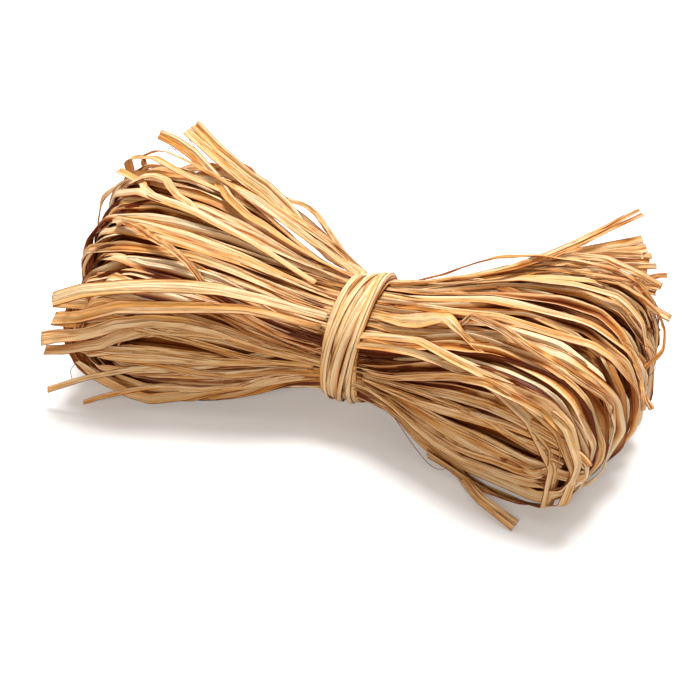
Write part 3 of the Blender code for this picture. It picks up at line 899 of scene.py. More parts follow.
# %% A strand of a few strips
def strand(path, faces, width, strips=2, fan=1.0, taper=0.55, tint=None, frayed=True,
           depth=0.0):
    """Strips side by side along a path.  Near the start they overlap; towards the end
    they spread to the full width, and over the last stretch they fan apart."""
    count = len(path)
    share = np.linspace(0, 1, count)
    width = spaced(np.atleast_1d(width), count)
    opened = taper + (1 - taper) * smooth(share / 0.55)
    tip = smooth((share - 0.84) / 0.16) if frayed else np.zeros(count)
    path = kinked(path, 4, 11, 0.04 * MM * float(np.clip(width.mean(), 2.0, 5.0)))
    face, sideways = rolled(*cross_frame(path, faces), drift(count, 6, 0.1))
    made = []
    for number in range(strips):
        place = 0.0 if strips == 1 else 2 * number / (strips - 1) - 1
        strip_width = width / (strips**0.85) * opened * (1 + drift(count, 7, 0.08))
        shift = place * (width - width / strips**0.85) / 2 * opened
        shift = shift + tip * place * fan * chance.uniform(0.2, 1.0)
        stack = 0.25 * (number % 2) + tip * chance.normal(0, 0.4 * fan) + drift(count, 6, 0.1)
        line = path + (sideways * shift[:, None] + face * stack[:, None]) * MM
        across, height = creased(strip_width, 0.4)
        made.append(strip_of(line, face, across, height, drift(count, 6, 0.1), depth=depth,
                             tint=None if tint is None else tint + chance.normal(0, 0.05)))
    for strip in made:
        strip["rings"] = above_floor(strip["rings"])
    return made

# %% [markdown]
# ### Strands across the lobes and along the sides
# These strands were wound last and lie slantwise on the others.  A strand that simply
# stopped there would show a cut end, so both its ends dive between the turns.


# %% Crossing strands
def dive(path, faces, start_mm, end_mm):
    """Lowers both ends of a path into the pile."""
    share = np.linspace(0, 1, len(path))
    sink = start_mm * smooth(1 - share / 0.16) + end_mm * smooth((share - 0.84) / 0.16)
    return path - unit(faces) * sink[:, None] * MM


# Side, lanes, quarter turns, lifts (mm), width (mm), strips, how deep both ends dive (mm).
CROSSINGS = (
    (-1, (-0.76, -0.69, -0.59, -0.44, -0.26, -0.18), (0.4, 0.43, 0.47, 0.55, 0.66, 0.72),
     (1.5, 3.2, 3.4, 3.4, 3.2, 2), 3.6, 2, 1.5, 2),
    (-1, (0.4, 0.36, 0.44, 0.44, 0.26, 0.15, 0.1), (0.78, 0.72, 0.65, 0.61, 0.56, 0.49, 0.45),
     (0.5, 2.6, 3.6, 3.8, 3.2, 2.6, 1.5), 3.8, 1, 2, 2),
    (-1, (0.6, 0.6, 0.57, 0.66, 0.79, 0.93, 0.9, 0.72),
     (0.2, 0.43, 0.55, 0.65, 0.76, 0.86, 0.86, 0.8), (0.5, 2.4, 3.4, 5, 6, 5, -3, -6),
     4.2, 1, 0, 0),
    (-1, (0.3, 0.45, 0.62, 0.88, 1, 0.92), (0.1, 0.24, 0.38, 0.66, 0.8, 0.78),
     (0.8, 2.4, 4.4, 5, 5, -2), 3.2, 1, 1, 1),
    (-1, (-0.1, 0.02, 0.16, 0.42), (0.12, 0.36, 0.6, 0.9), (1.4, 2.6, 2.8, 1.2), 4.4, 1, 2, 2),
    (1, (-0.42, -0.45, -0.37, -0.5, -0.66, -0.73, -0.72, -0.6, -0.56),
     (0.34, 0.35, 0.37, 0.45, 0.57, 0.66, 0.75, 0.86, 0.95),
     (0.5, 2.6, 3.6, 3.4, 3.2, 3, 3, 2.6, 1), 3.8, 2, 0, 2),
    (1, (-0.34, -0.38, -0.42, -0.4, -0.59, -0.76), (0.05, 0.12, 0.2, 0.3, 0.36, 0.44),
     (0.4, 1.2, 2.4, 3.4, 2.8, 0.5), (5, 6.5, 7, 6, 2.4, 3), 1, 0.5, 2),
    (1, (0.42, 0.5, 0.61, 0.6, 0.66, 0.8), (0.05, 0.18, 0.32, 0.47, 0.66, 0.85),
     (0.5, 3.5, 8, 7.5, 5.5, 2.5), (3, 3.6, 4, 2.6, 2.4, 2.6), 1, 0, 1),
    (1, (0.62, 0.58, 0.52, 0.46, 0.33, 0.14), (0.6, 0.73, 0.79, 0.85, 0.9, 0.93),
     (0.5, 2.5, 5, 7.5, 6.5, 1.5), 2.2, 1, 1, 2),
    (1, (0.2, 0.34, 0.4, 0.3), (0.12, 0.4, 0.7, 0.96), (1.2, 2.4, 2.6, 1), 4.4, 1, 2, 2),
)
crossing_strips = []
for side, lanes, quarters, lifts, width, strips, *dives in CROSSINGS:
    path, faces = over_lanes(side, lanes, quarters, lifts, 3 * len(lanes))
    path, faces = guided(path, faces, PATH_STATIONS)
    crossing_strips += strand(dive(path, faces, *dives), faces, width, strips, taper=0.8,
                              frayed=False)
print(len(crossing_strips), "crossing strips")

# %% [markdown]
# ### Bends that stand clear
# On the near side a few loops stand clear of the rest and bend over the end on their
# own.  The shape has no room for them, so their routes are written point by point, with
# the direction that the strip faces at each point.

# %% Clear loops at the near side
DOWN = (0, 0, -1)
# Points (mm), the direction the strip faces at each, width (mm), strips.
CLEAR_LOOPS = (
    (((2, -21, 40), (26, -26, 47), (48, -34, 51), (64, -38, 52), (74, -41, 51), (86, -45, 40),
      (92, -47, 30), (96, -48, 20), (96, -48, 12), (88, -46, 4.5), (70, -42, 2.5), (40, -33, 6)),
     ((0, -.6, 1), (0, -.7, 1), (0, -.8, 1), (0, -.8, 1), (.3, -.8, .9), (.6, -.9, .5),
      (.7, -.9, .3), (.8, -.8, 0), (.7, -.6, -.4), (.3, -.6, -.8), (0, -.8, -.6), (0, -.8, -.4)),
     5.6, 1),
    (((4, -19, 43), (30, -25, 52), (56, -36, 54), (70, -41, 54), (86, -45, 52), (94, -47, 43),
      (101, -49, 30), (103, -48, 19), (99, -47, 11), (88, -44, 5), (70, -42, 2.5), (44, -32, 5)),
     ((0, -.4, 1), (0, -.5, 1), (0, -.6, 1), (0, -.6, 1), (.4, -.7, .8), (.7, -.8, .5),
      (.9, -.7, .2), (.9, -.6, -.2), (.6, -.6, -.5), (.3, -.4, -1), DOWN, DOWN), 4.8, 1),
    (((-8, -23, 46), (-33, -28, 50), (-50, -33, 51), (-65, -38, 50), (-80, -42, 50),
      (-98, -46, 43), (-110, -48, 39), (-113, -46.5, 38), (-111, -44, 37), (-98, -40, 36),
      (-84, -36, 35)),
     ((0, -.6, 1), (0, -.7, .9), (0, -.8, .8), (0, -.8, .7), (0, -.8, .7), (-.1, -.9, .6),
      (-.4, -.8, .5), (-1, -.1, .1), (-.4, .8, -.5), (0, .8, -.6), (0, .8, -.7)), 5.4, 1),
    (((-6, -21, 50), (-34, -29, 58), (-50, -33, 60), (-64, -37, 60), (-79, -42, 59),
      (-96, -45, 55), (-109, -48, 49), (-113, -46.5, 47), (-110, -44, 46), (-98, -40, 45),
      (-84, -36, 44)),
     ((0, -.5, 1), (0, -.6, .9), (0, -.7, .8), (0, -.8, .7), (0, -.8, .7), (-.1, -.9, .6),
      (-.4, -.8, .5), (-1, -.1, .1), (-.4, .8, -.5), (0, .8, -.6), (0, .8, -.7)), 5.8, 1),
    (((-4, -22, 36), (-30, -28, 30), (-52, -34, 24), (-72, -40, 20), (-90, -45, 18),
      (-100, -47, 22), (-96, -46, 27), (-80, -42, 29)),
     ((0, -1, .3), (0, -1, .2), (0, -1, .1), (0, -1, .1), (-.2, -1, -.1), (-.9, -.5, 0),
      (-.4, -.8, .5), (0, -.8, .6)), 4.2, 1),
    (((-2, -22, 26), (-30, -28, 17), (-56, -34, 9), (-74, -41, 5), (-92, -45, 12),
      (-103, -47, 20)),
     ((0, -1, -.1), (0, -1, .1), (0, -1, .2), (0, -1, .2), (0, -1, .2), (-.4, -.9, 0)), 4.4, 1),
)
clear_strips = []
for points, faces, width, strips in CLEAR_LOOPS:
    path, faces = guided(free(points), np.array(faces, float), 90)
    clear_strips += strand(path, faces, width, strips, taper=0.6, frayed=False)
print(len(clear_strips), "strips bend clear of the near side")

# %% Straight strands over the far side
# They run straight from the tie, and thin arcs stand off them.  Of each: points (mm),
# width (mm).
STRAIGHT_STRANDS = (
    (((-4, 13, 49), (-30, 23, 56.5), (-50, 32, 61.5), (-70, 40, 65), (-88, 44, 64), (-104, 47, 56),
      (-112, 47, 44)), 5.2),
    (((-4, 16, 46), (-26, 25, 54), (-45, 32, 59.5), (-64, 39, 63.5), (-84, 45, 62), (-98, 48, 54)),
     4.4),
    (((-5, 9, 51), (-28, 17, 57), (-48, 24, 62), (-68, 29, 66), (-90, 33, 65), (-108, 36, 56)),
     4.8),
    (((-5, 18, 43), (-26, 27, 51), (-46, 35, 57), (-66, 42, 59), (-86, 47, 56)), 4.6),
    (((-5, 14, 49), (-24, 21, 56), (-44, 27, 60.5), (-60, 35, 63), (-74, 40, 63)), 3.8),
    (((-4, 15, 49), (-14, 19, 52), (-22, 23.5, 56), (-30, 29, 60), (-35, 32, 62), (-47, 35, 62.5),
      (-58, 35, 61)), 2.4),
    (((-5, 20, 42), (-20, 25, 48.5), (-34, 30, 53.5), (-50, 34, 57.5), (-66, 38, 60)), 4.2),
    (((-5, 12, 48), (-22, 18, 53.5), (-38, 24, 58), (-54, 29, 61), (-70, 33, 62.5)), 4.6),
    (((-50, 33, 60), (-60, 39, 63), (-66, 44, 65.5), (-70, 45.5, 67), (-76, 45, 67),
      (-84, 42, 65)), 2),
)
for points, width in STRAIGHT_STRANDS:
    path = through(free(points), 72)
    clear_strips += strand(path, np.tile((0.0, -0.35, 1.0), (72, 1)), width, 1, taper=0.6,
                           tint=0.7, frayed=False)
print(len(STRAIGHT_STRANDS), "straight strands")

# %% Strands along the sides
# Side, end (-1 near, +1 far), shares of the height, quarters, width.
SIDE_STRANDS = (
    (1, -1, (0.5, 0.45), (0.1, 0.96), 4.5), (1, -1, (-0.1, -0.35), (0.1, 0.93), 4.5),
    (-1, -1, (0.05, -0.1), (0.1, 0.93), 4), (1, 1, (0.4, 0.3), (0.1, 0.95), 4.5),
    (1, 1, (-0.4, -0.5), (0.1, 0.93), 4.5), (-1, 1, (0.45, 0.5), (0.1, 0.95), 4.5),
    (-1, 1, (-0.3, -0.4), (0.1, 0.93), 4.5),
)


def along_side(side, end, shares, quarters, width, stand_off=1.0, strips=2, depth=0.2):
    """A strand along a side of a lobe, whose ends dive between the others, with the shade
    painted on it by depth.
    """
    path, faces = beside(side, end, shares, quarters, 9, stand_off)
    path, faces = guided(path, faces, 64)
    return strand(dive(path, faces, 1.0, 3.5), faces, width, strips, taper=0.6, frayed=False,
                  depth=depth)


for side, end, shares, quarters, width in SIDE_STRANDS:
    side_strips[end] += along_side(side, end, shares, quarters, width)

# %% More strands that cross the sides
# They cross at small angles; the nearer they are, the less shade is painted on them.  Of each end:
# how many.
FLANK_STRANDS = {-1: 6, 1: 7}
for end, count in FLANK_STRANDS.items():
    for side in (1, -1):
        for number in range(count):
            out = -0.8 + 1.7 * (number + chance.uniform()) / count
            waist = 0.7 * out + chance.normal(0, 0.45)
            near = chance.uniform()
            side_strips[end] += along_side(
                side, end, (np.clip(waist, -0.9, 0.95), (waist + 2 * out) / 3, out),
                (0.08, 0.5, chance.uniform(0.72, 0.9)), chance.uniform(2.4, 4.6),
                3.4 * near - 0.6, 1, 0.6 * (1 - near))
print("strips at the sides:", {end: len(strips) for end, strips in side_strips.items()})


# %% Painted shade on the side strips, by how deep they lie
def shade_side(strips, end, cell=1.5 * MM, spread=2.0):
    """Paints shade on the strips at one side by how deep each point lies.  A table over
    length and height holds how far out the strips reach there, smoothed over its
    neighbours; the painted shade grows with the distance behind it, and a little towards
    the floor, and keeps a part of what the strip had."""
    corners = np.concatenate([strip["rings"].reshape(-1, 3) for strip in strips])
    place = ((corners - corners.min(axis=0)) / cell).astype(int)[:, [0, 2]]
    table = np.full(place.max(axis=0) + 1, -np.inf)
    np.maximum.at(table, (place[:, 0], place[:, 1]), end * corners[:, 1])
    filled = np.isfinite(table)
    along, up = (near_weights(count, spread) for count in table.shape)
    front = (along @ np.where(filled, table, 0.0) @ up) / (along @ filled.astype(float) @ up)
    behind = (front[place[:, 0], place[:, 1]] - end * corners[:, 1]) / MM
    # Painted shade towards the floor, where less light reaches.
    behind += 1.6 * smooth((22 - corners[:, 2] / MM) / 20)
    first = 0
    for strip in strips:
        stations, ring = strip["rings"].shape[:2]
        own = behind[first:first + stations * ring].reshape(stations, ring)
        strip["depth"] = np.clip(0.55 * strip["depth"] + smooth((own - 0.3) / 1.6), 0, 1)
        first += stations * ring


for end in (-1, 1):
    shade_side(side_strips[end], end)
    mean = np.mean([strip["depth"].mean() for strip in side_strips[end]])
    print("side", end, "mean depth of its strips:", round(float(mean), 2))

# %% [markdown]
# ### Cut ends
# Where the raffia was cut, ends leave the lobes and stand in the air.  Each runs with the
# turns first, so that it grows out of the hank, and then through free points.

# %% Routes of the cut ends
# Side, lanes, quarter turns, lifts (mm), free points (mm from the tie's foot), width,
# strips, tint (0 orange to 1 pale).
TOP_ENDS = (
    (1, (0.2, 0.3), (0.02, 0.34), (0.5, 5), ((64, 25, 66), (80, 46, 69), (93, 62, 73)),
     3.6, 2, 0.2),
    (1, (0.6, 0.76), (0.02, 0.42), (0.3, 2), ((78, 40, 63), (97, 57, 62)), 6.5, 2, 0.1),
    (1, (0.5, 0.62, 0.72), (0.02, 0.42, 0.5), (0.3, 2.2, 2.6), ((78, 44, 60), (100, 52, 56)),
     8, 3, 0.1),
    (1, (0.66, 0.7), (0.5, 0.74), (-2, 2.6), ((103, 42, 57), (109, 45, 57)), 2.6, 1, 0.2),
    (1, (0.1, -0.05), (0.78, 0.94), (-2, 0.5), ((115, -6, 34), (117, -7, 31)), 3.2, 2, 0.1),
    (1, (0.4, 0.52, 0.6), (0.02, 0.42, 0.56), (0.3, 2, 2.4), ((86, 37, 57), (106, 44, 51)),
     5, 2, 0.4),
    (1, (0.3, 0.4, 0.5), (0.04, 0.42, 0.6), (0.3, 2, 2.4), ((96, 34, 52), (114, 38, 43)),
     3.4, 1, 0.4),
    (1, (0.56, 0.74, 0.84), (0.02, 0.3, 0.5), (0.5, 2.4, 3.2), ((82, 44, 60), (101, 54, 59)),
     2.6, 1, 0.1),
    (1, (0.48, 0.6, 0.7), (0.02, 0.3, 0.5), (0.5, 2.6, 3.4), ((84, 38, 60), (104, 48, 59)),
     3, 1, 0.3),
    (1, (0.36, 0.48, 0.56), (0.02, 0.3, 0.5), (0.5, 2.6, 3.6), ((86, 30, 60), (108, 38, 56)),
     2.6, 1, 0.2),
    (-1, (0.34, 0.42), (0.02, 0.16), (0.5, 2.5),
     ((-48, 31, 62.5), (-72, 41, 67), (-88, 50, 70), (-102, 59, 72)), 7.6, 2, 0.9),
    (-1, (0.2, 0.42), (0.02, 0.4), (0.3, 3), ((-80, 35, 67), (-97, 46, 69), (-115, 55, 68)),
     4.8, 1, 0),
    (-1, (0.02, 0.1, 0.23), (0.02, 0.5, 0.67), (0.5, 1.6, 3), ((-101, 17, 66), (-121, 28, 64)),
     3.6, 1, 0.6),
    (1, (0.52, 0.7, 0.66), (0.02, 0.28, 0.44), (0.5, 2.8, 4.2),
     ((80, 36, 65), (97, 36, 62), (108, 40, 55)), 2.8, 1, 0),
    (1, (0.66, 0.58, 0.72), (0.02, 0.26, 0.46), (0.5, 3, 3.8), ((84, 43, 62), (98, 50, 60)),
     3.2, 1, 0.05),
    (1, (0.3, 0.44, 0.62), (0.02, 0.25, 0.42), (0.5, 2.6, 4.4), ((78, 36, 65), (98, 46, 63)),
     2.6, 1, 0.15),
)

# Side, shares of the height, quarter turns, free points, width, strips.
SIDE_ENDS = (
    (-1, (0.85, 0.56), (0.05, 0.6), ((-96, -49, 37), (-115, -52, 31.5)), 5.4, 2),
    (-1, (0.62, 0.42), (0.05, 0.6), ((-92, -51, 33), (-113, -54, 28.5)), 4.8, 1),
    (-1, (-0.36, -0.36), (0.1, 0.55), ((-92, -49, 18), (-114, -54, 8)), 2.6, 1),
    (-1, (-0.7, -0.75), (0.2, 0.55), ((-90, -48.5, 8), (-101, -50, 2.5)), 2, 1),
)

# The cut end low in front: side, lanes underneath, quarter turns, lifts, free points, width.
FOOT_END = (1, (-0.72, -0.95), (0.02, 0.42), (0.3, 2.2), ((66, -48, 5), (82, -55, 2.2)), 4.2, 2)

# %% Loose ends
loose_strips = {1: [], -1: []}
for side, lanes, quarters, lifts, loose, width, strips, tint in TOP_ENDS:
    ridden, faces = over_lanes(side, lanes, quarters, lifts, 5)
    path, faces = join(ridden, faces, free(loose))
    loose_strips[side] += strand(path, faces, width, strips, tint=tint)
for side, shares, quarters, loose, width, strips in SIDE_ENDS:
    ridden, faces = beside(side, -1, shares, quarters, 4)
    path, faces = join(ridden, faces, free(loose))
    loose_strips[side] += strand(path, faces, width, strips)
side, lanes, quarters, lifts, loose, width, strips = FOOT_END
ridden, faces = over_lanes(side, lanes, quarters, lifts, 4, under=True)
path, faces = join(ridden, np.tile((0.2, -1.0, 0.5), (4, 1)), free(loose))
loose_strips[side] += strand(path, faces, width, strips, fan=0.3)
print("strips of cut ends:", {side: len(strips) for side, strips in loose_strips.items()})

# %% [markdown]
# ## The tie
# One strand is wound round the waist five or six times and creased as it was pulled
# tight.  A helix would lie too evenly.  So each wrap is laid on a pile of its own, whose
# stations run round the waist and whose lanes run along it, and the last wraps lean
# across the first.

# %% The wraps
TIE_STATIONS = 121
TIE_RADIUS = WAIST_RADIUS + 0.7 * MM
TIE_CENTRE = TIE_PLACE + np.array([0, 0, WAIST_HEIGHT - SETTLE])
# Of each wrap: middle (mm along), lean (mm), direction of the lean (degrees), width (mm).
WRAPS = (
    (-6.3, 1.2, 60, 3), (-3.6, 1.5, 60, 3), (-0.9, 1.8, 60, 3), (1.8, 1.6, 60, 3),
    (4.4, 1.5, 60, 2.9), (6.6, 1.2, 60, 2.6), (-1.2, 5.6, 80, 2.8), (1.8, 5.2, 62, 3),
    (-3.2, 3.8, 45, 2.6), (4.2, 3.2, 100, 2.4), (0.4, 6, 110, 2.2),
)


def make_wraps():
    """Each wrap's middle line is a cosine of the angle round the waist, which is 0 at the
    far side and a quarter turn on top; it rests on those under it, and its section is
    rounded like a flattened cord."""
    angle = np.linspace(0, 2 * math.pi, TIE_STATIONS)
    pile = Pile(angle, reach=12.0, columns=260)
    joined = np.sin(angle / 2) ** 2
    laid = []
    for middle, lean, direction, width in WRAPS:
        x = middle + lean * np.cos(angle - math.radians(direction))
        x = x + drift(TIE_STATIONS, 12, 0.2) * joined
        widths = width * (1 + drift(TIE_STATIONS, 9, 0.1) * joined)
        laid.append((x, widths, pile.lay(x, widths / 2, 0.6)))
    high = pile.level(1.0, 4.0)
    made = []
    for x, widths, section in laid:
        radius = TIE_RADIUS + section.mean(axis=1) * MM
        faces = np.stack([0 * angle, np.cos(angle), np.sin(angle)], axis=1)
        path = TIE_CENTRE + faces * radius[:, None] + x[:, None] * MM * (1, 0, 0)
        across, height = creased(widths, 0.26, 0.1, 0.1)
        share = 2 * across / widths[:, None]
        relative = section - section.mean(axis=1, keepdims=True)
        # Painted shade: darker where a wrap lies below the wraps around it.
        below = pile.read(high, x[:, None] + across) - section - 0.3
        depth = 0.8 * smooth((below - 0.2) / 1.6)
        depth = np.concatenate([depth, depth[:, ::-1]], axis=1)
        made.append(strip_of(path, faces, across, height + relative + 0.5 * (1 - share**2), 0.0,
                             tint=0.45 + chance.normal(0, 0.12), depth=depth))
    return made


tie_strips = make_wraps()
print(len(tie_strips), "strips in the tie")

# %% [markdown]
# ## Loose fibres
# Fine fibres split off the strips and curl in the air.  Hair particles suit thousands of
# them, but a handful is simpler as very narrow strips through written points.


# %% Hairs
def hair(points_mm, thickness=0.22):
    """A thin fibre through the points."""
    path = through(free(points_mm), 40)
    count = len(path)
    across = np.stack([-np.ones(count), np.ones(count)], axis=1) * thickness / 2
    return strip_of(path, np.tile((0.3, -0.5, 0.8), (count, 1)), across, 0 * across,
                    drift(count, 4, 0.6), leaf=thickness * MM, tint=0.4)


HAIRS = (
    ((24, -26, 14), (33, -31, 8), (42, -35, 3), (48, -36, 3.5), (50, -34, 8)),
    ((108, 10, 48), (113, 12, 44), (115, 9, 38), (110, 4, 34)),
    ((-100, -44, 22), (-106, -47, 16), (-105, -49, 11)),
    ((-96, 40, 68), (-104, 44, 70), (-107, 47, 67), (-101, 50, 66)),
    ((-90, 44, 67), (-98, 50, 71), (-101, 54, 68)),
)
hair_strips = [hair(points) for points in HAIRS]
print(len(hair_strips), "fibres")

# %% [markdown]
# ## The pieces
# The strips are gathered into pieces, each standing for the CAD nodes it covers.  One
# object for each strip would be hard to handle, and all in one would be too large a
# mesh, so the turns of each lobe make two pieces, inner and outer.


# %% CAD nodes of each kind
def standing(start, place=lambda low, high: True):
    """The CAD nodes whose names start so and whose boxes lie at that place."""
    return [node for node in nodes if node.startswith(start) and place(*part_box(node))]


loops = standing("strand_loop_")
right_ends = standing("loose_end_", lambda low, high: high[0] > 0)
left_ends = standing("loose_end_", lambda low, high: high[0] <= 0)
near_sides = standing("side_strand_", lambda low, high: low[1] < 0)
far_sides = standing("side_strand_", lambda low, high: low[1] >= 0)

# %% Pieces
INNER_TURNS = {1: 60, -1: 56}  # how many turns of each lobe are in its inner piece
# Of each piece: its strips and the CAD nodes it stands for.
PIECES = {
    "turns_right_inner": (lobe_strips[1][:INNER_TURNS[1]], loops),
    "turns_right_outer": (lobe_strips[1][INNER_TURNS[1]:], loops),
    "turns_left_inner": (lobe_strips[-1][:INNER_TURNS[-1]], loops),
    "turns_left_outer": (lobe_strips[-1][INNER_TURNS[-1]:], loops),
    "side_loops_near": (side_strips[-1], near_sides),
    "side_loops_far": (side_strips[1], far_sides),
    "crossing_strands": (crossing_strips + clear_strips, standing("crossing_strand_")),
    "loose_ends_right": (loose_strips[1], right_ends),
    "loose_ends_left": (loose_strips[-1], left_ends),
    "tie_wraps": (tie_strips, standing("tie_wrap_")),
    "hair_fibres": (hair_strips, []),
}
piece_list = [make_inner_body()]
for name, (strips, replaced) in PIECES.items():
    piece_list.append(make_piece(name, strips, replaced))

# %% [markdown]
# ## The leaf
# Dry raffia is satiny and straw coloured, with fine fibres and streaks along it, and it
# lets some orange light through.  A painted texture would repeat from strip to strip.
# So the colour comes from each strip's own numbers and from noise drawn out along the
# strip in the Leaf UV map, and a part of the light passes through the leaf.  Light and
# shade are painted into the colour as well: a highlight on the crease ridges, and shade
# in the valleys, along the edges and fold lines, on the lower side, and where a strip
# lies below the others.


# %% Colours of dry leaf
def linear(red, green, blue):
    """A colour written as on a screen (0 to 255) in the renderer's linear numbers."""
    c = np.array([red, green, blue]) / 255
    return (*np.where(c <= 0.04045, c / 12.92, ((c + 0.055) / 1.055) ** 2.4).tolist(), 1.0)


# The pale colour serves both pale streaks and the painted highlight on ridges; the shade and deep
# colours are painted shade only.
PALE_STREAK_AND_HIGHLIGHT = linear(250, 235, 200)
STRAW = linear(240, 198, 132)
HONEY = linear(229, 165, 82)
PAINTED_SHADE = linear(207, 155, 82)
PAINTED_DEEP_SHADE = linear(132, 78, 24)
GLOW = linear(246, 146, 34)
print("straw in linear numbers:", np.round(STRAW, 3).tolist())


# %% Shorthand for material nodes
class Nodes:
    """A material and its nodes."""

    def __init__(self, name):
        self.material = bpy.data.materials.new(name)
        self.material.use_nodes = True
        self.tree = self.material.node_tree
        self.tree.nodes.clear()

    def add(self, kind, inputs=None, **settings):
        """A new node with its settings, and with values or links on its inputs."""
        node = self.tree.nodes.new(kind)
        for key, value in settings.items():
            setattr(node, key, value)
        for key, value in (inputs or {}).items():
            self.put(node, key, value)
        return node

    def put(self, node, key, value):
        """Links an output to this input, or writes a plain value there."""
        if isinstance(value, bpy.types.NodeSocket):
            self.tree.links.new(value, node.inputs[key])
        else:
            node.inputs[key].default_value = value

    def math(self, operation, a, b=0.0):
        """One calculation on one or two numbers."""
        return self.add("ShaderNodeMath", {0: a, 1: b}, operation=operation).outputs[0]

    def mix(self, share, a, b, blend="MIX"):
        """Colour b laid on colour a by this share."""
        node = self.add("ShaderNodeMix", data_type="RGBA", blend_type=blend)
        for socket, value in ((0, share), (6, a), (7, b)):
            self.put(node, socket, value)
        return node.outputs[2]


# %% The leaf material
def leaf_material(name, roughness, shine, glow_share):
    """Straw colours chosen by strip and streak, with a painted highlight on ridges and
    painted shade in valleys, along edges and fold lines and by depth; creases from bump,
    satin and glow.
    """
    n = Nodes(name)
    uv = n.add("ShaderNodeUVMap", uv_map="Leaf").outputs[0]
    numbers = n.add("ShaderNodeAttribute", attribute_name="leaf_tint_and_shade").outputs["Vector"]
    tint, painted_light_and_shade, depth = n.add("ShaderNodeSeparateXYZ", {0: numbers}).outputs

    def streaks(along, across, detail):
        """Noise with so many waves a metre along the leaf and across it."""
        scaled = n.add("ShaderNodeMapping", {"Vector": uv, "Scale": (along, across, 1)})
        return n.add("ShaderNodeTexNoise", {"Vector": scaled.outputs[0], "Scale": 1.0,
                                           "Detail": detail, "Roughness": 0.6},
                     noise_dimensions="2D").outputs[0]

    def ridged(value):
        """Distance from the noise's middle value: sharp valleys along its contour lines."""
        return n.math("ABSOLUTE", n.math("SUBTRACT", value, 0.5))

    broad = streaks(14, 260, 1.0)
    grain = streaks(40, 2000, 1.0)
    folds = ridged(streaks(9, 340, 0.6))
    fibres = ridged(streaks(24, 800, 1.0))
    crinkles = ridged(streaks(110, 260, 1.0))

    base = n.mix(tint, HONEY, STRAW)
    # What decides, between which two of its values, the share of the colour at each of
    # them, the colour, and how it is laid on.
    for value, low, high, start, end, colour, blend in (
        (broad, 0.42, 0.60, 0.0, 0.5, PALE_STREAK_AND_HIGHLIGHT, "MIX"),
        (grain, 0.36, 0.60, 0.3, 0.0, HONEY, "MIX"),
        (fibres, 0.0, 0.05, 0.5, 0.0, HONEY, "MIX"),
        # Painted highlight on the crease ridges and painted shade in the valleys.
        (painted_light_and_shade, 0.0, 1.0, 0.0, 0.7, PALE_STREAK_AND_HIGHLIGHT, "MIX"),
        (painted_light_and_shade, -1.0, 0.0, 0.8, 0.0, PAINTED_SHADE, "MULTIPLY"),
        # Painted shade along the fold lines, in the creases that the bump makes.
        (folds, 0.0, 0.03, 0.6, 0.0, PAINTED_SHADE, "MULTIPLY"),
        (folds, 0.0, 0.012, 0.4, 0.0, PAINTED_DEEP_SHADE, "MULTIPLY"),
        # Painted shade along the edges of each strip and on its lower side.
        (painted_light_and_shade, -2.0, -0.5, 1.0, 0.0, PAINTED_SHADE, "MULTIPLY"),
        (painted_light_and_shade, -1.8, -0.75, 0.95, 0.0, PAINTED_DEEP_SHADE, "MULTIPLY"),
        # Painted shade where a strip lies below the strips around it, deepest where it lies
        # deepest.
        (depth, 0.05, 0.7, 0.0, 0.85, PAINTED_SHADE, "MULTIPLY"),
        (depth, 0.38, 0.9, 0.0, 0.95, PAINTED_DEEP_SHADE, "MULTIPLY"),
    ):
        share = n.add("ShaderNodeMapRange", {0: value, 1: low, 2: high, 3: start, 4: end})
        base = n.mix(share.outputs[0], base, colour, blend)

    bump_height = folds
    for relief, share in ((crinkles, 0.45), (fibres, 0.5), (broad, 0.35)):
        bump_height = n.math("ADD", bump_height, n.math("MULTIPLY", relief, share))
    bumped = n.add("ShaderNodeBump", {"Height": bump_height, "Strength": 1.0,
                                     "Distance": 0.0018})
    shader = n.add("ShaderNodeBsdfPrincipled", {
        "Base Color": base, "Roughness": roughness, "Specular IOR Level": shine,
        "Normal": bumped.outputs[0]})
    through_leaf = n.add("ShaderNodeBsdfTranslucent", {
        "Color": n.mix(0.55, base, GLOW), "Normal": bumped.outputs[0]})
    mixed = n.add("ShaderNodeMixShader", {0: glow_share, 1: shader.outputs[0],
                                         2: through_leaf.outputs[0]})
    n.add("ShaderNodeOutputMaterial", {0: mixed.outputs[0]})
    return n.material

# %% Materials on the pieces
leaf = leaf_material("raffia_leaf", 0.46, 0.22, 0.22)
special = {
    "inner_strands_ribbed": leaf_material("raffia_leaf_inside", 1.0, 0.0, 0.0),
    "tie_wraps": leaf_material("raffia_leaf_tie", 0.48, 0.3, 0.1),
}
for piece in piece_list:
    piece.data.materials.append(special.get(piece.name, leaf))
print(len(leaf.node_tree.nodes), "nodes in the leaf material")

# %% [markdown]
# ## Floor, light and camera
# The hank lies on a white floor, which keeps its soft shadow.  One lamp alone would leave
# the near side dark, so two above and behind give the satin its light, and a weak warm
# one in front fills the near side.  They are distant lamps, whose light is even.


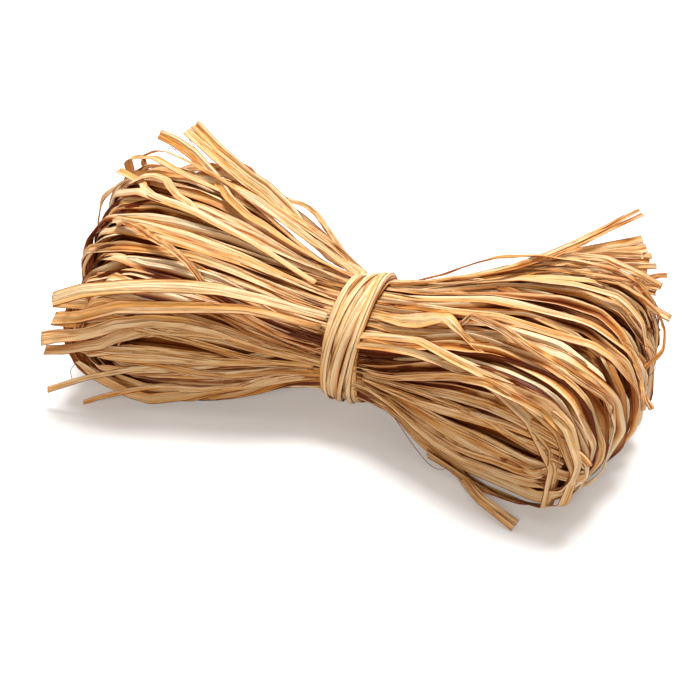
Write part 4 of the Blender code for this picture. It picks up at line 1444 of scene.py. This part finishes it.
# %% Floor
def make_floor():
    """A large matt square that glows a little for the camera and for reflections."""
    mesh = bpy.data.meshes.new("floor")
    reach = 4.0
    mesh.from_pydata([(-reach, -reach, 0), (reach, -reach, 0), (reach, reach, 0),
                      (-reach, reach, 0)], [], [(0, 1, 2, 3)])
    floor = add_object("floor", mesh)
    n = Nodes("floor_white")
    rays = n.add("ShaderNodeLightPath").outputs
    seen = n.math("MAXIMUM", rays["Is Camera Ray"], rays["Is Glossy Ray"])
    seen = n.math("MAXIMUM", seen, rays["Is Transmission Ray"])
    matt = n.add("ShaderNodeBsdfDiffuse", {0: (0.62, 0.62, 0.62, 1)})
    lit = n.add("ShaderNodeEmission", {0: (1, 0.91, 0.86, 1), 1: 0.25})
    nothing = n.add("ShaderNodeEmission", {0: (0, 0, 0, 1), 1: 0.0})
    glow = n.add("ShaderNodeMixShader", {0: seen, 1: nothing.outputs[0], 2: lit.outputs[0]})
    both = n.add("ShaderNodeAddShader", {0: matt.outputs[0], 1: glow.outputs[0]})
    n.add("ShaderNodeOutputMaterial", {0: both.outputs[0]})
    mesh.materials.append(n.material)


make_floor()


# %% Lights
def make_sun(name, azimuth, elevation, strength, spread, colour=(1.0, 1.0, 1.0)):
    """A distant lamp; azimuth 0 stands before the hank, 180 behind it."""
    data = bpy.data.lights.new(name, "SUN")
    data.energy = strength
    data.color = colour
    data.angle = math.radians(spread)
    lamp = add_object(name, data)
    lamp.rotation_euler = (math.radians(90 - elevation), 0, math.radians(azimuth))


make_sun("key_light", 177, 70, 4.6, 22)
make_sun("soft_key_light", 177, 68, 1.5, 80)
make_sun("fill_light", 6, 34, 1.3, 14, colour=(1.0, 0.90, 0.76))
print("lamps:", [lamp.name for lamp in bpy.data.lights])

# %% Light from all around
world = bpy.data.worlds.new("studio")
bpy.context.scene.world = world
world.use_nodes = True
backdrop = world.node_tree.nodes["Background"].inputs
backdrop[0].default_value, backdrop[1].default_value = (1, 1, 1, 1), 0.1

# %% Camera
AZIMUTH, ELEVATION, DISTANCE = math.radians(22), math.radians(36), 0.66
camera_data = bpy.data.cameras.new("camera")
camera_data.lens = 85
camera_data.sensor_width = 36
camera = add_object("camera", camera_data)
back = np.array([math.sin(AZIMUTH) * math.cos(ELEVATION),
                 -math.cos(AZIMUTH) * math.cos(ELEVATION), math.sin(ELEVATION)])
aim = TIE_PLACE + np.array([-0.0046, -0.0012, 0.0217])
camera.location = aim + back * DISTANCE
camera.rotation_euler = (math.pi / 2 - ELEVATION, 0, AZIMUTH)
bpy.context.scene.camera = camera
bpy.context.scene.view_settings.view_transform = "Standard"
print("the camera stands at", np.round(np.array(camera.location), 3).tolist(), "m")
